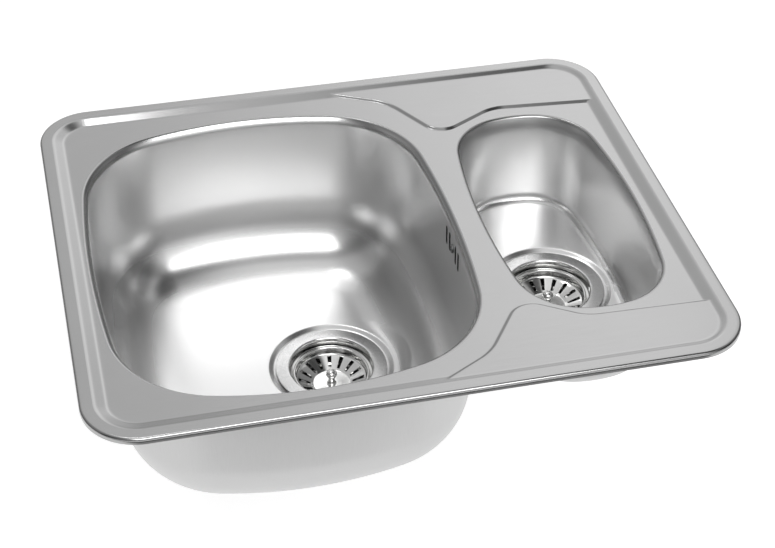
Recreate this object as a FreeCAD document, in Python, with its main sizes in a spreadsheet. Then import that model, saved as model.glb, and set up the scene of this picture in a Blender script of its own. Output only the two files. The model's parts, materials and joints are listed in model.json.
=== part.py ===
import FreeCAD, Part
import Sketcher
import math
import os
from FreeCAD import Placement, Rotation, Vector

# An inset kitchen sink with one and a half bowls, pressed from stainless steel sheet.
# X runs right, Y runs back and Z runs up. The origin is the middle of the rim's outline,
# at the level of the worktop that the rim rests on.

SIZES = {
    # pressed deck
    "skin": 0.8,
    "left_margin": 29.0,
    "right_margin": 32.75,
    "back_margin": 46.0,
    "front_margin": 34.0,
    "rim_corner": 52.0,
    "rim_height": 6.0,
    "rim_edge_round": 2.6,
    "band_width": 13.0,
    "slope_width": 11.0,
    "deck_fall": 4.0,
    "ledge_fall": 2.2,
    "ledge_wide_bend": 60.0,
    "ledge_tight_bend": 23.0,
    "ledge_return_bend": 45.0,
    "seal_width": 7.5,
    "seal_inset": 3.5,
    # bowls
    "weld_flange": 2.0,
    "bowl_gap": 25.75,
    "main_width": 354.0,
    "main_length": 420.0,
    "main_lip": 4.5,
    "main_fall": 170.0,
    "main_floor_round": 73.0,
    "main_drain_offset": 54.0,
    "half_width": 158.5,
    "half_lip": 4.0,
    "half_fall": 105.5,
    "half_floor_round": 7.0,
    # drain recess in each floor
    "recess_radius": 64.4,
    "recess_depth": 3.0,
    "recess_slope": 6.0,
    # strainer cup
    "cup_skin": 0.9,
    "mouth_radius": 42.5,
    "mouth_round": 2.2,
    "flange_radius": 57.0,
    "flange_edge": 0.9,
    "flange_gasket": 1.4,
    "seat_drop": 10.4,
    "seat_run": 5.0,
    "seat_fall": 1.0,
    "cup_drop": 31.0,
    "cup_hole": 21.0,
    "hub_radius": 7.0,
    "spoke_width": 4.0,
    # basket
    "basket_rim_radius": 38.0,
    "basket_bead": 1.4,
    "basket_rim_drop": 9.5,
    "basket_skin": 0.8,
    "basket_shoulder": 36.0,
    "basket_shoulder_drop": 16.0,
    "basket_base_radius": 20.5,
    "basket_base_drop": 24.0,
    "slot_width": 3.2,
    "slot_inner": 22.5,
    "slot_outer": 34.0,
    "knob_radius": 6.1,
    "knob_drop": 12.7,
    "stem_radius": 2.6,
    "stem_foot_radius": 5.0,
    "stem_foot": 1.1,
    "plug_radius": 26.5,
    "plug_lip": 4.0,
    "plug_web": 1.4,
    "plug_slope": 3.6,
    "seat_clearance": 0.3,
    # waste body below each bowl
    "fit_clearance": 0.5,
    "lower_gasket": 2.0,
    "waste_flange_radius": 57.0,
    "waste_flange": 3.5,
    "waste_wall": 2.5,
    "waste_shoulder_drop": 14.0,
    "waste_bell_radius": 40.0,
    "waste_bell_drop": 35.0,
    "outlet_radius": 23.9,
    "outlet_wall": 3.4,
    "outlet_top_drop": 51.0,
    "outlet_length": 28.0,
    "boss_radius": 9.0,
    "boss_length": 20.0,
    "rib_width": 3.0,
    "rib_height": 6.0,
    "rib_reach": 29.5,
    "bolt_radius": 3.0,
    "bolt_head_radius": 6.0,
    "bolt_head": 3.0,
    "nut_radius": 5.5,
    "nut_length": 12.0,
    "thread_clearance": 0.05,
    "spigot_radius": 8.5,
    "spigot_wall": 2.0,
    "spigot_reach": 24.0,
    "spigot_drop": 27.6,
    "spigot_collar": 2.0,
    "spigot_collar_length": 6.0,
    # overflow through the right wall of the main bowl
    "overflow_drop": 24.3,
    "overflow_offset": 16.5,
    "overflow_pitch": 11.1,
    "overflow_slot_width": 4.6,
    "overflow_slot_length": 19.5,
    "overflow_hole": 5.2,
    "housing_width": 74.0,
    "housing_height": 34.0,
    "housing_corner": 12.0,
    "housing_wall": 2.2,
    "housing_gasket": 2.0,
    "gasket_band": 5.0,
    "screw_radius": 2.4,
    "screw_head_radius": 4.6,
    "screw_head": 1.5,
    "screw_recess_radius": 2.2,
    "screw_recess": 1.0,
    "post_radius": 5.0,
    # sound pads under the floors
    "pad_thickness": 2.5,
    "main_pad_width": 80.0,
    "main_pad_length": 170.0,
    "half_pad_width": 80.0,
    "half_pad_margin": 30.0,
    "pad_gap": 6.0,
    # folding worktop clamps
    "clamp_setback": 35.0,
    "clamp_left_setback": 44.0,
    "clamp_right_setback": 60.0,
    "clamp_drop": 7.0,
    "arm_width": 12.0,
    "arm_thickness": 2.0,
    "leg_length": 38.0,
    "foot_length": 36.0,
    "eye_radius": 4.0,
    "pin_radius": 2.0,
    "pin_clearance": 0.05,
    "cheek_thickness": 1.5,
    "cheek_clearance": 0.4,
    "cheek_width": 12.0,
    "clamp_screw_radius": 2.5,
    "clamp_screw_head_radius": 3.5,
    "clamp_screw_head": 3.0,
    "clamp_screw_gap": 5.0,
    "clamp_tip_radius": 4.0,
    "clamp_tip": 2.0,
    "clamp_reach": 25.0,
    "clamp_nut_radius": 5.0,
    "clamp_nut_length": 5.0,
    # one overrun for cuts, and the tolerance for picking edges by their place
    "overrun": 5.0,
    "pick_tolerance": 0.01,
}

# Angles in degrees
ANGLES = {
    "main_draft": 0.5,
    "half_draft": 2.0,
    "overflow_slant": 7.0,
    "slot_turn": 14.6,
}

COUNTS = {
    "spoke_count": 3,
    "slot_count": 16,
}

# Arcs of the bowls' outlines, as shares of the bowl's own length or width, and the small
# bowl's length as a share of the large one's.
SIDE_ARC_SHARES = {"main": 2.5405, "half": 2.3810}
END_ARC_SHARES = {"main": 1.1186, "half": 0.8202}
CORNER_SHARES = {"main": 0.2938, "half": 0.3912}
LENGTH_SHARES = {"main": 1.0, "half": 0.75}

# Corners of the two raised ledges, as shares of half the width and half the depth.
TAP_LEDGE_SHARES = [(-0.100, 1.000), (0.219, 0.815), (0.353, 0.540), (0.571, 0.682), (1.033, 0.638)]
FRONT_LEDGE_SHARES = [(-0.100, -1.020), (0.214, -0.813), (0.362, -0.557), (0.545, -0.696), (1.033, -0.714)]
LEDGE_BACK_SHARE = 1.100

doc = FreeCAD.newDocument("kitchen_sink")
sheet = doc.addObject("Spreadsheet::Sheet", "Sizes")
for row, (alias, value) in enumerate({**SIZES, **ANGLES, **COUNTS}.items(), start=1):
    sheet.set(f"A{row}", alias)
    sheet.set(f"B{row}", str(value))
    sheet.setAlias(f"B{row}", alias)
answers = doc.addObject("Spreadsheet::Sheet", "Answers")
doc.recompute()

SUBPARTS = []
ALONG_X = Rotation(Vector(0, 1, 0), 90)
ALONG_Y = Rotation(Vector(1, 0, 0), -90)


class Cells:
    """Reads a cell of the sheet by its alias."""

    def __getattr__(self, alias):
        return float(getattr(sheet, alias))


cell = Cells()


def number(formula):
    """Value of a formula on the sheet's aliases, worked out in a cell of its own."""
    answers.set("A1", "=" + formula)
    answers.recompute()
    return float(answers.get("A1"))


def subpart(thing, label):
    """Names a finished sub-part and lists it for writing."""
    thing.Label = label
    SUBPARTS.append(thing)
    return thing


def place(thing, x, y, z):
    """Binds a placement to formulas."""
    for axis, formula in (("x", x), ("y", y), ("z", z)):
        thing.setExpression(f"Placement.Base.{axis}", formula)
    return thing


def shape_of(name, shape):
    """Holds a shape that was worked out from the sheet."""
    thing = doc.addObject("Part::Feature", name)
    thing.Shape = shape
    return thing


def rod(name, radius, length, x="0", y="0", z="0", turn=Rotation()):
    """Cylinder bound to formulas, along its own Z turned by a rotation."""
    thing = doc.addObject("Part::Cylinder", name)
    thing.Placement = Placement(Vector(), turn)
    thing.setExpression("Radius", radius)
    thing.setExpression("Height", length)
    return place(thing, x, y, z)


def block(name, length, width, height, x="0", y="0", z="0", turn=Rotation()):
    """Box bound to formulas, from its lowest corner, turned by a rotation."""
    thing = doc.addObject("Part::Box", name)
    thing.Placement = Placement(Vector(), turn)
    thing.setExpression("Length", length)
    thing.setExpression("Width", width)
    thing.setExpression("Height", height)
    return place(thing, x, y, z)


def spokes(name, reach, width, height, z, half_step):
    """Bars from the Z axis outward, spread evenly around it."""
    bars = []
    for step in range(COUNTS["spoke_count"]):
        angle = 360 * (step + half_step) / COUNTS["spoke_count"]
        turn = Rotation(Vector(0, 0, 1), angle)
        bars.append(block(f"{name}_{step + 1}", reach, width, height, x=f"0.5 * {width} * sin({angle})",
                          y=f"-0.5 * {width} * cos({angle})", z=z, turn=turn))
    return bars


def joined(name, pieces):
    """Union of several objects."""
    thing = doc.addObject("Part::MultiFuse", name)
    thing.Shapes = pieces
    return thing


def less(name, base, tool):
    """One object with another taken away."""
    thing = doc.addObject("Part::Cut", name)
    thing.Base = base
    thing.Tool = tool
    return thing


def group(name, pieces):
    """Several separate solids under one name."""
    thing = doc.addObject("Part::Compound", name)
    thing.Links = pieces
    return thing


def origin_plane(body, role):
    """One of a body's own origin planes."""
    return next(item for item in body.Origin.OriginFeatures if item.Role == role)


def closed_sketch(body, name, role, outline):
    """Closed outline of straight lines, each corner pinned to two formulas."""
    sketch = body.newObject("Sketcher::SketchObject", name)
    sketch.AttachmentSupport = [(origin_plane(body, role), "")]
    sketch.MapMode = "FlatFace"
    corners = [Vector(number(across), number(up), 0) for across, up in outline]
    count = len(corners)
    sketch.addGeometry([Part.LineSegment(corners[i], corners[(i + 1) % count]) for i in range(count)], False)
    for i in range(count):
        sketch.addConstraint(Sketcher.Constraint("Coincident", i, 2, (i + 1) % count, 1))
    for i, (across, up) in enumerate(outline):
        for kind, formula in (("DistanceX", across), ("DistanceY", up)):
            constraint = Sketcher.Constraint(kind, -1, 1, i, 1, number(formula))
            index = sketch.addConstraint(constraint)
            sketch.setExpression(f"Constraints[{index}]", formula)
    return sketch


def turned(name, outline):
    """Body turned about its own Z axis from an outline of radius and height."""
    body = doc.addObject("PartDesign::Body", name)
    sketch = closed_sketch(body, name + "_outline", "XZ_Plane", outline)
    turn = body.newObject("PartDesign::Revolution", name + "_turn")
    turn.Profile = sketch
    turn.ReferenceAxis = (sketch, ["V_Axis"])
    turn.Angle = 360
    return body


def round_edges(body, name, radius, wanted):
    """Rounds the edges of a body that a test picks."""
    doc.recompute()
    base = body.Tip
    picked = [f"Edge{i}" for i, edge in enumerate(base.Shape.Edges, start=1) if wanted(edge)]
    fillet = body.newObject("PartDesign::Fillet", name)
    fillet.Base = (base, picked)
    fillet.setExpression("Radius", radius)
    return fillet


def is_level(edge, height):
    """True for an edge that lies flat at a given height."""
    box = edge.BoundBox
    return abs(box.ZMin - height) < cell.pick_tolerance and abs(box.ZMax - height) < cell.pick_tolerance


def is_ring(edge, radius, height):
    """True for a full circle of a given radius and height about the Z axis."""
    return is_level(edge, height) and abs(edge.BoundBox.XMax - radius) < cell.pick_tolerance


# Plane outlines

def shifted(corners, radii, shift):
    """Corners and radii of a counter-clockwise outline moved outward."""
    count = len(corners)
    moved = []
    bends = []
    for i, corner in enumerate(corners):
        before = (corner - corners[i - 1]).normalize()
        after = (corners[(i + 1) % count] - corner).normalize()
        out_before = Vector(before.y, -before.x, 0)
        out_after = Vector(after.y, -after.x, 0)
        moved.append(corner + (out_before + out_after) * (shift / (1 + out_before.dot(out_after))))
        left_turn = before.x * after.y - before.y * after.x > 0
        bends.append(radii[i] + shift if left_turn and radii[i] else radii[i] - shift if radii[i] else 0)
    return moved, bends


def rounded_wire(corners, radii, height):
    """Closed wire through corners, each cut by an arc of its radius."""
    count = len(corners)
    stops = []
    for i, corner in enumerate(corners):
        back = (corners[i - 1] - corner).normalize()
        ahead = (corners[(i + 1) % count] - corner).normalize()
        half = back.getAngle(ahead) / 2
        cut = radii[i] / math.tan(half)
        middle = (back + ahead).normalize() * (radii[i] / math.sin(half) - radii[i])
        stops.append((corner + back * cut, corner + middle, corner + ahead * cut))
    lift = Vector(0, 0, height)
    edges = []
    for i, (start, middle, end) in enumerate(stops):
        if radii[i]:
            edges.append(Part.Arc(start + lift, middle + lift, end + lift).toShape())
        edges.append(Part.LineSegment(end + lift, stops[(i + 1) % count][0] + lift).toShape())
    return Part.Wire(edges)


def rim_wire(inset, height):
    """Outline of the rim, moved inward."""
    x = number(SINK_WIDTH) / 2
    y = number(SINK_DEPTH) / 2
    corners = [Vector(-x, -y, 0), Vector(x, -y, 0), Vector(x, y, 0), Vector(-x, y, 0)]
    moved, bends = shifted(corners, [cell.rim_corner] * len(corners), -inset)
    return rounded_wire(moved, bends, height)


def oval_wire(bowl, inset, height):
    """Bowl outline of eight tangent arcs: bowed sides, bowed ends and round corners."""
    x = bowl["width"] / 2 - inset
    y = bowl["length"] / 2 - inset
    side = bowl["side_arc"] - inset
    end = bowl["end_arc"] - inset
    corner = bowl["corner"] - inset
    side_centre = Vector(x - side, 0, 0)
    end_centre = Vector(0, y - end, 0)
    centre = meeting(side_centre, side - corner, end_centre, end - corner)
    from_side = (centre - side_centre).normalize()
    from_end = (centre - end_centre).normalize()
    side_stop = side_centre + from_side * side
    end_stop = end_centre + from_end * end
    corner_middle = centre + (from_side + from_end).normalize() * corner
    middle = Vector(bowl["centre"].x, bowl["centre"].y, height)

    def arc(start, through, stop, start_signs, through_signs, stop_signs):
        points = []
        for point, (across, along) in zip((start, through, stop), (start_signs, through_signs, stop_signs)):
            points.append(middle + Vector(point.x * across, point.y * along, 0))
        return Part.Arc(*points).toShape()

    side_middle = Vector(x, 0, 0)
    end_middle = Vector(0, y, 0)
    return Part.Wire([
        arc(side_stop, side_middle, side_stop, (1, -1), (1, 1), (1, 1)),
        arc(side_stop, corner_middle, end_stop, (1, 1), (1, 1), (1, 1)),
        arc(end_stop, end_middle, end_stop, (1, 1), (1, 1), (-1, 1)),
        arc(end_stop, corner_middle, side_stop, (-1, 1), (-1, 1), (-1, 1)),
        arc(side_stop, side_middle, side_stop, (-1, 1), (-1, 1), (-1, -1)),
        arc(side_stop, corner_middle, end_stop, (-1, -1), (-1, -1), (-1, -1)),
        arc(end_stop, end_middle, end_stop, (-1, -1), (1, -1), (1, -1)),
        arc(end_stop, corner_middle, side_stop, (1, -1), (1, -1), (1, -1)),
    ])


def meeting(first, first_radius, second, second_radius):
    """Crossing of two circles that lies furthest to the back right."""
    between = second - first
    distance = between.Length
    along = (first_radius ** 2 - second_radius ** 2 + distance ** 2) / (2 * distance)
    aside = math.sqrt(first_radius ** 2 - along ** 2)
    unit = between.normalize()
    foot = first + unit * along
    normal = Vector(-unit.y, unit.x, 0)
    return max(foot + normal * aside, foot - normal * aside, key=lambda point: point.x + point.y)


# Levels and places that several pieces share

SINK_WIDTH = "(Sizes.left_margin + Sizes.main_width + Sizes.bowl_gap + Sizes.half_width + Sizes.right_margin)"
SINK_DEPTH = "(Sizes.front_margin + Sizes.main_length + Sizes.back_margin)"
DECK_LEVEL = "(Sizes.rim_height - Sizes.deck_fall)"
BOWL_ROW = f"(0.5 * {SINK_DEPTH} - Sizes.back_margin - 0.5 * Sizes.main_length)"
MAIN_CENTRE = f"(-0.5 * {SINK_WIDTH} + Sizes.left_margin + 0.5 * Sizes.main_width)"
HALF_CENTRE = f"(0.5 * {SINK_WIDTH} - Sizes.right_margin - 0.5 * Sizes.half_width)"


def bowl_sizes(name, across, drain_across):
    """Driving sizes of one bowl, its centre, and its drain as formulas and as a point."""
    bowl = {}
    for key in ("width", "draft", "lip", "fall", "floor_round"):
        bowl[key] = getattr(cell, f"{name}_{key}")
    bowl["length"] = LENGTH_SHARES[name] * cell.main_length
    bowl["side_arc"] = SIDE_ARC_SHARES[name] * bowl["length"]
    bowl["end_arc"] = END_ARC_SHARES[name] * bowl["width"]
    bowl["corner"] = CORNER_SHARES[name] * bowl["width"]
    bowl["centre"] = Vector(number(across), number(BOWL_ROW), 0)
    bowl["drain_at"] = (drain_across, BOWL_ROW, f"{DECK_LEVEL} - Sizes.{name}_fall")
    bowl["drain"] = Vector(*[number(formula) for formula in bowl["drain_at"]])
    bowl["floor"] = bowl["drain"].z
    return bowl


DECK = number(DECK_LEVEL)
MAIN = bowl_sizes("main", MAIN_CENTRE, f"{MAIN_CENTRE} + Sizes.main_drain_offset")
HALF = bowl_sizes("half", HALF_CENTRE, HALF_CENTRE)


# Deck

def ledge_form(shares, closing, drop, height):
    """Raised ledge with one long curved slope towards the bowls."""
    x = number(SINK_WIDTH) / 2
    y = number(SINK_DEPTH) / 2
    line = [Vector(across * x, along * y, 0) for across, along in shares]
    bends = [0, cell.ledge_wide_bend, cell.ledge_tight_bend, cell.ledge_return_bend, 0]
    far = [Vector(line[-1].x, closing * y, 0), Vector(line[0].x, closing * y, 0)]
    corners = line + far
    radii = bends + [0, 0]
    if closing < 0:
        corners = corners[::-1]
        radii = radii[::-1]
    run = cell.slope_width * (cell.deck_fall - cell.ledge_fall) / cell.deck_fall
    foot, foot_bends = shifted(corners, radii, run / 2)
    top, top_bends = shifted(corners, radii, -run / 2)
    low = rounded_wire(foot, foot_bends, DECK - drop)
    high = rounded_wire(top, top_bends, height)
    return Part.makeLoft([low, high], True, True)


def pressed_form(drop):
    """Solid under the deck's pressed surface, lowered and drawn in by one skin or by none."""
    top = cell.rim_height - drop
    base = -cell.overrun if drop else 0
    form = Part.Face(rim_wire(drop, base)).extrude(Vector(0, 0, top - base))
    edge = [item for item in form.Edges if item.BoundBox.ZMin > top - cell.pick_tolerance]
    form = form.makeFillet(cell.rim_edge_round - drop, edge)
    brink = rim_wire(cell.band_width, top)
    foot = rim_wire(cell.band_width + cell.slope_width, DECK - drop)
    well = Part.makeLoft([brink, foot], True, True)
    level = top - cell.ledge_fall
    ledges = [
        ledge_form(TAP_LEDGE_SHARES, LEDGE_BACK_SHARE, drop, level),
        ledge_form(FRONT_LEDGE_SHARES, -LEDGE_BACK_SHARE, drop, level),
    ]
    for ledge in ledges:
        well = well.cut(ledge)
    return form.cut(well)


def make_deck():
    """Pressed deck: rim, sloped step, two raised ledges and the two bowl openings."""
    sheet_form = pressed_form(0).cut(pressed_form(cell.skin))
    for bowl in (MAIN, HALF):
        opening = Part.Face(oval_wire(bowl, -cell.weld_flange, -cell.overrun))
        sheet_form = sheet_form.cut(opening.extrude(Vector(0, 0, cell.rim_height + 2 * cell.overrun)))
    subpart(shape_of("deck", sheet_form), "deck")


def make_rim_seal():
    """Foam strip that fills the hollow of the rim and seals it to the worktop."""
    outer = Part.Face(rim_wire(cell.seal_inset, 0))
    inner = Part.Face(rim_wire(cell.seal_inset + cell.seal_width, 0))
    ring = outer.cut(inner).extrude(Vector(0, 0, cell.rim_height - cell.skin))
    subpart(shape_of("rim_seal", ring), "rim_seal")


# Bowls

def bowl_form(bowl, grow):
    """Solid inside a bowl's skin: lip, drafted wall, rounded floor and drain recess."""
    top = DECK - grow
    floor = bowl["floor"] - grow
    draft = math.tan(math.radians(bowl["draft"]))
    inset = bowl["lip"] - grow
    foot_inset = inset + draft * (top - floor)
    brink = oval_wire(bowl, inset, top)
    foot = oval_wire(bowl, foot_inset, floor)
    form = Part.makeLoft([brink, foot], True, True)
    form = form.makeFillet(bowl["floor_round"] + grow, level_edges(form, floor))
    cover = Part.Face(oval_wire(bowl, -cell.weld_flange, top)).extrude(Vector(0, 0, cell.overrun))
    recess = recess_form(bowl, foot_inset, grow)
    form = form.fuse([cover, recess]).removeSplitter()
    lip = [edge for edge in level_edges(form, top) if brink.distToShape(edge)[0] < cell.pick_tolerance]
    return form.makeFillet(bowl["lip"] - grow, lip)


def recess_form(bowl, foot_inset, grow):
    """Shallow dish for the strainer's flange, steeper above the floor, and no wider than the walls."""
    low = bowl["floor"] - cell.recess_depth - grow
    height = cell.recess_depth + grow + cell.overrun
    base = Vector(bowl["drain"].x, bowl["drain"].y, low)
    dish = Part.Face(oval_wire(bowl, foot_inset, low)).extrude(Vector(0, 0, height))
    for slope in (cell.recess_slope / cell.recess_depth, 1):
        inner = cell.recess_radius - slope * (cell.recess_depth + grow) + grow * math.hypot(1, slope)
        dish = dish.common(Part.makeCone(inner, inner + slope * height, height, base))
    return dish


def level_edges(form, height):
    """Edges that lie flat at one height."""
    return [edge for edge in form.Edges if is_level(edge, height)]


def bowl_shell(bowl):
    """Bowl's skin, with the round hole for its strainer."""
    shell = bowl_form(bowl, cell.skin).cut(bowl_form(bowl, 0))
    drain = bowl["drain"] - Vector(0, 0, cell.recess_depth + cell.overrun)
    hole = cell.mouth_radius + cell.cup_skin + cell.fit_clearance
    return shell.cut(Part.makeCylinder(hole, 2 * cell.overrun, drain))


def overflow_frame():
    """Place on the outside of the main bowl's right wall: local X points out of it, Z straight up."""
    draft = math.tan(math.radians(MAIN["draft"]))
    radius = MAIN["side_arc"] - MAIN["lip"] - draft * cell.overflow_drop + cell.skin
    bow = math.asin(cell.overflow_offset / radius)
    out = MAIN["width"] / 2 - MAIN["side_arc"] + radius * math.cos(bow)
    spot = MAIN["centre"] + Vector(out, -cell.overflow_offset, DECK - cell.overflow_drop)
    return Placement(spot, Rotation(Vector(0, 0, 1), -math.degrees(bow)))


def overflow_slot(along):
    """Slanted slot with round ends, cut along local X."""
    radius = cell.overflow_slot_width / 2
    straight = cell.overflow_slot_length - cell.overflow_slot_width
    reach = 2 * cell.overrun
    start = Vector(-cell.overrun, 0, 0)
    ends = [Part.makeCylinder(radius, reach, start + Vector(0, 0, sign * straight / 2), Vector(1, 0, 0))
            for sign in (-1, 1)]
    middle = Part.makeBox(reach, 2 * radius, straight, start + Vector(0, -radius, -straight / 2))
    slot = middle.fuse(ends)
    slot.Placement = Placement(Vector(0, along, 0), Rotation(Vector(1, 0, 0), -cell.overflow_slant))
    return slot


def make_main_bowl():
    """Large bowl, with four overflow slots and a screw hole in its right wall."""
    cuts = [overflow_slot(cell.overflow_pitch * step) for step in (-2, -1, 1, 2)]
    start = Vector(-cell.overrun, 0, 0)
    cuts.append(Part.makeCylinder(cell.overflow_hole / 2, 2 * cell.overrun, start, Vector(1, 0, 0)))
    shell = bowl_shell(MAIN)
    for cut in cuts:
        cut.Placement = overflow_frame() * cut.Placement
        shell = shell.cut(cut)
    subpart(shape_of("main_bowl", shell), "main_bowl")


def make_half_bowl():
    """Small rinsing bowl with near upright walls."""
    subpart(shape_of("half_bowl", bowl_shell(HALF)), "half_bowl")


def make_sound_pads():
    """Damping pads stuck under the two flat floors."""
    left = MAIN["drain"].x - cell.recess_radius - cell.pad_gap - cell.main_pad_width
    low = cell.skin + cell.pad_thickness
    corner = Vector(left, MAIN["centre"].y - cell.main_pad_length / 2, MAIN["floor"] - low)
    pad = Part.makeBox(cell.main_pad_width, cell.main_pad_length, cell.pad_thickness, corner)
    subpart(shape_of("main_sound_pad", pad), "main_sound_pad")
    back = HALF["drain"].y + cell.recess_radius + cell.pad_gap
    length = HALF["centre"].y + HALF["length"] / 2 - cell.half_pad_margin - back
    corner = Vector(HALF["drain"].x - cell.half_pad_width / 2, back, HALF["floor"] - low)
    pad = Part.makeBox(cell.half_pad_width, length, cell.pad_thickness, corner)
    subpart(shape_of("half_sound_pad", pad), "half_sound_pad")


# Strainer and waste of each bowl, built about the drain's centre at floor level

FLANGE_UNDER = "Sizes.flange_gasket - Sizes.recess_depth"
CUP_FLOOR = "Sizes.cup_skin - Sizes.cup_drop"
WASTE_TOP = "-Sizes.recess_depth - Sizes.skin - Sizes.lower_gasket"
BOLT_END = "-Sizes.outlet_top_drop - 0.5 * Sizes.boss_length"
CLEAR_RADIUS = "Sizes.mouth_radius + Sizes.cup_skin + 2 * Sizes.fit_clearance"


def flange_gasket(name):
    """Flat rubber ring between the cup's flange and the recess."""
    return turned(name, [
        (CLEAR_RADIUS, "-Sizes.recess_depth"),
        ("Sizes.flange_radius - Sizes.fit_clearance", "-Sizes.recess_depth"),
        ("Sizes.flange_radius - Sizes.fit_clearance", FLANGE_UNDER),
        (CLEAR_RADIUS, FLANGE_UNDER),
    ])


def strainer_cup(name):
    """Flanged cup with a seat for the basket and a spoked floor."""
    inner = "Sizes.mouth_radius - Sizes.seat_run"
    seat = "-Sizes.seat_drop - Sizes.seat_fall"
    cup = turned(name + "_bowl", [
        ("Sizes.flange_radius", FLANGE_UNDER),
        ("Sizes.flange_radius", FLANGE_UNDER + " + Sizes.flange_edge"),
        ("Sizes.mouth_radius", "0"),
        ("Sizes.mouth_radius", "-Sizes.seat_drop"),
        (inner, seat),
        (inner, CUP_FLOOR),
        ("Sizes.cup_hole", CUP_FLOOR),
        ("Sizes.cup_hole", "-Sizes.cup_drop"),
        (inner + " + Sizes.cup_skin", "-Sizes.cup_drop"),
        (inner + " + Sizes.cup_skin", seat + " - Sizes.cup_skin"),
        ("Sizes.mouth_radius + Sizes.cup_skin", "-Sizes.seat_drop - Sizes.cup_skin"),
        ("Sizes.mouth_radius + Sizes.cup_skin", FLANGE_UNDER),
    ])
    round_edges(cup, name + "_mouth", "Sizes.mouth_round", lambda edge: is_ring(edge, cell.mouth_radius, 0))
    pieces = [cup, rod(name + "_hub", "Sizes.hub_radius", "Sizes.cup_skin", z="-Sizes.cup_drop")]
    pieces += spokes(name + "_spoke", "Sizes.cup_hole + Sizes.cup_skin", "Sizes.spoke_width", "Sizes.cup_skin",
                     "-Sizes.cup_drop", 0)
    bore = rod(name + "_bore", "Sizes.bolt_radius + Sizes.fit_clearance", "2 * Sizes.overrun",
               z="-Sizes.cup_drop - Sizes.overrun")
    return less(name, joined(name + "_solid", pieces), bore)


def lower_gasket(name):
    """Rubber washer between the floor's underside and the waste body."""
    return turned(name, [
        (CLEAR_RADIUS, WASTE_TOP),
        ("Sizes.waste_flange_radius - Sizes.fit_clearance", WASTE_TOP),
        ("Sizes.waste_flange_radius - Sizes.fit_clearance", "-Sizes.recess_depth - Sizes.skin"),
        (CLEAR_RADIUS, "-Sizes.recess_depth - Sizes.skin"),
    ])


def waste_body(name, with_spigot):
    """Moulded bell with a threaded outlet and a ribbed boss for the centre bolt."""
    wall = "Sizes.waste_wall"
    outlet_bore = "Sizes.outlet_radius - Sizes.outlet_wall"
    end = "-Sizes.outlet_top_drop - Sizes.outlet_length"
    shell = turned(name + "_bell", [
        (CLEAR_RADIUS, WASTE_TOP),
        ("Sizes.waste_flange_radius", WASTE_TOP),
        ("Sizes.waste_flange_radius", WASTE_TOP + " - Sizes.waste_flange"),
        (CLEAR_RADIUS + " + " + wall, WASTE_TOP + " - Sizes.waste_flange"),
        (CLEAR_RADIUS + " + " + wall, "-Sizes.waste_shoulder_drop - 0.5 * " + wall),
        ("Sizes.waste_bell_radius + " + wall, "-Sizes.waste_shoulder_drop - 2 * " + wall),
        ("Sizes.waste_bell_radius + " + wall, "-Sizes.waste_bell_drop - 0.5 * " + wall),
        ("Sizes.outlet_radius", "-Sizes.outlet_top_drop - 0.5 * " + wall),
        ("Sizes.outlet_radius", end),
        (outlet_bore, end),
        (outlet_bore, "-Sizes.outlet_top_drop"),
        ("Sizes.waste_bell_radius", "-Sizes.waste_bell_drop"),
        ("Sizes.waste_bell_radius", "-Sizes.waste_shoulder_drop - " + wall),
        (CLEAR_RADIUS, "-Sizes.waste_shoulder_drop"),
    ])
    boss = rod(name + "_boss", "Sizes.boss_radius", "Sizes.boss_length", z=BOLT_END)
    rib_low = "-Sizes.outlet_top_drop + Sizes.outlet_wall + 0.5 * " + wall
    pieces = [shell, boss]
    pieces += spokes(name + "_rib", "Sizes.rib_reach", "Sizes.rib_width", "Sizes.rib_height", rib_low, 0.5)
    cuts = [
        rod(name + "_bolt_way", "Sizes.bolt_radius + Sizes.fit_clearance", "2 * Sizes.boss_length",
            z=BOLT_END + " - Sizes.overrun"),
        rod(name + "_nut_way", "Sizes.nut_radius", "Sizes.nut_length + Sizes.overrun",
            z=BOLT_END + " - Sizes.overrun"),
    ]
    if with_spigot:
        start = "Sizes.waste_bell_radius + 0.5 * " + wall
        pieces.append(rod(name + "_spigot", "Sizes.spigot_radius", "Sizes.spigot_reach", x=start,
                          z="-Sizes.spigot_drop", turn=ALONG_X))
        pieces.append(rod(name + "_collar", "Sizes.spigot_radius + Sizes.spigot_collar",
                          "Sizes.spigot_collar_length", x=start, z="-Sizes.spigot_drop", turn=ALONG_X))
        cuts.append(rod(name + "_spigot_way", "Sizes.spigot_radius - Sizes.spigot_wall",
                        "Sizes.spigot_reach + 2 * Sizes.overrun", x=start + " - Sizes.overrun",
                        z="-Sizes.spigot_drop", turn=ALONG_X))
    return less(name, joined(name + "_solid", pieces), joined(name + "_ways", cuts))


def centre_bolt(name):
    """Bolt that draws the cup and the waste body together."""
    return turned(name, [
        ("0", BOLT_END),
        ("Sizes.bolt_radius", BOLT_END),
        ("Sizes.bolt_radius", CUP_FLOOR),
        ("Sizes.bolt_head_radius", CUP_FLOOR),
        ("Sizes.bolt_head_radius", CUP_FLOOR + " + Sizes.bolt_head"),
        ("0", CUP_FLOOR + " + Sizes.bolt_head"),
    ])


def insert_nut(name):
    """Threaded brass insert in the waste body's boss."""
    return turned(name, [
        ("Sizes.bolt_radius + Sizes.thread_clearance", BOLT_END),
        ("Sizes.nut_radius", BOLT_END),
        ("Sizes.nut_radius", BOLT_END + " + Sizes.nut_length"),
        ("Sizes.bolt_radius + Sizes.thread_clearance", BOLT_END + " + Sizes.nut_length"),
    ])


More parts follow.
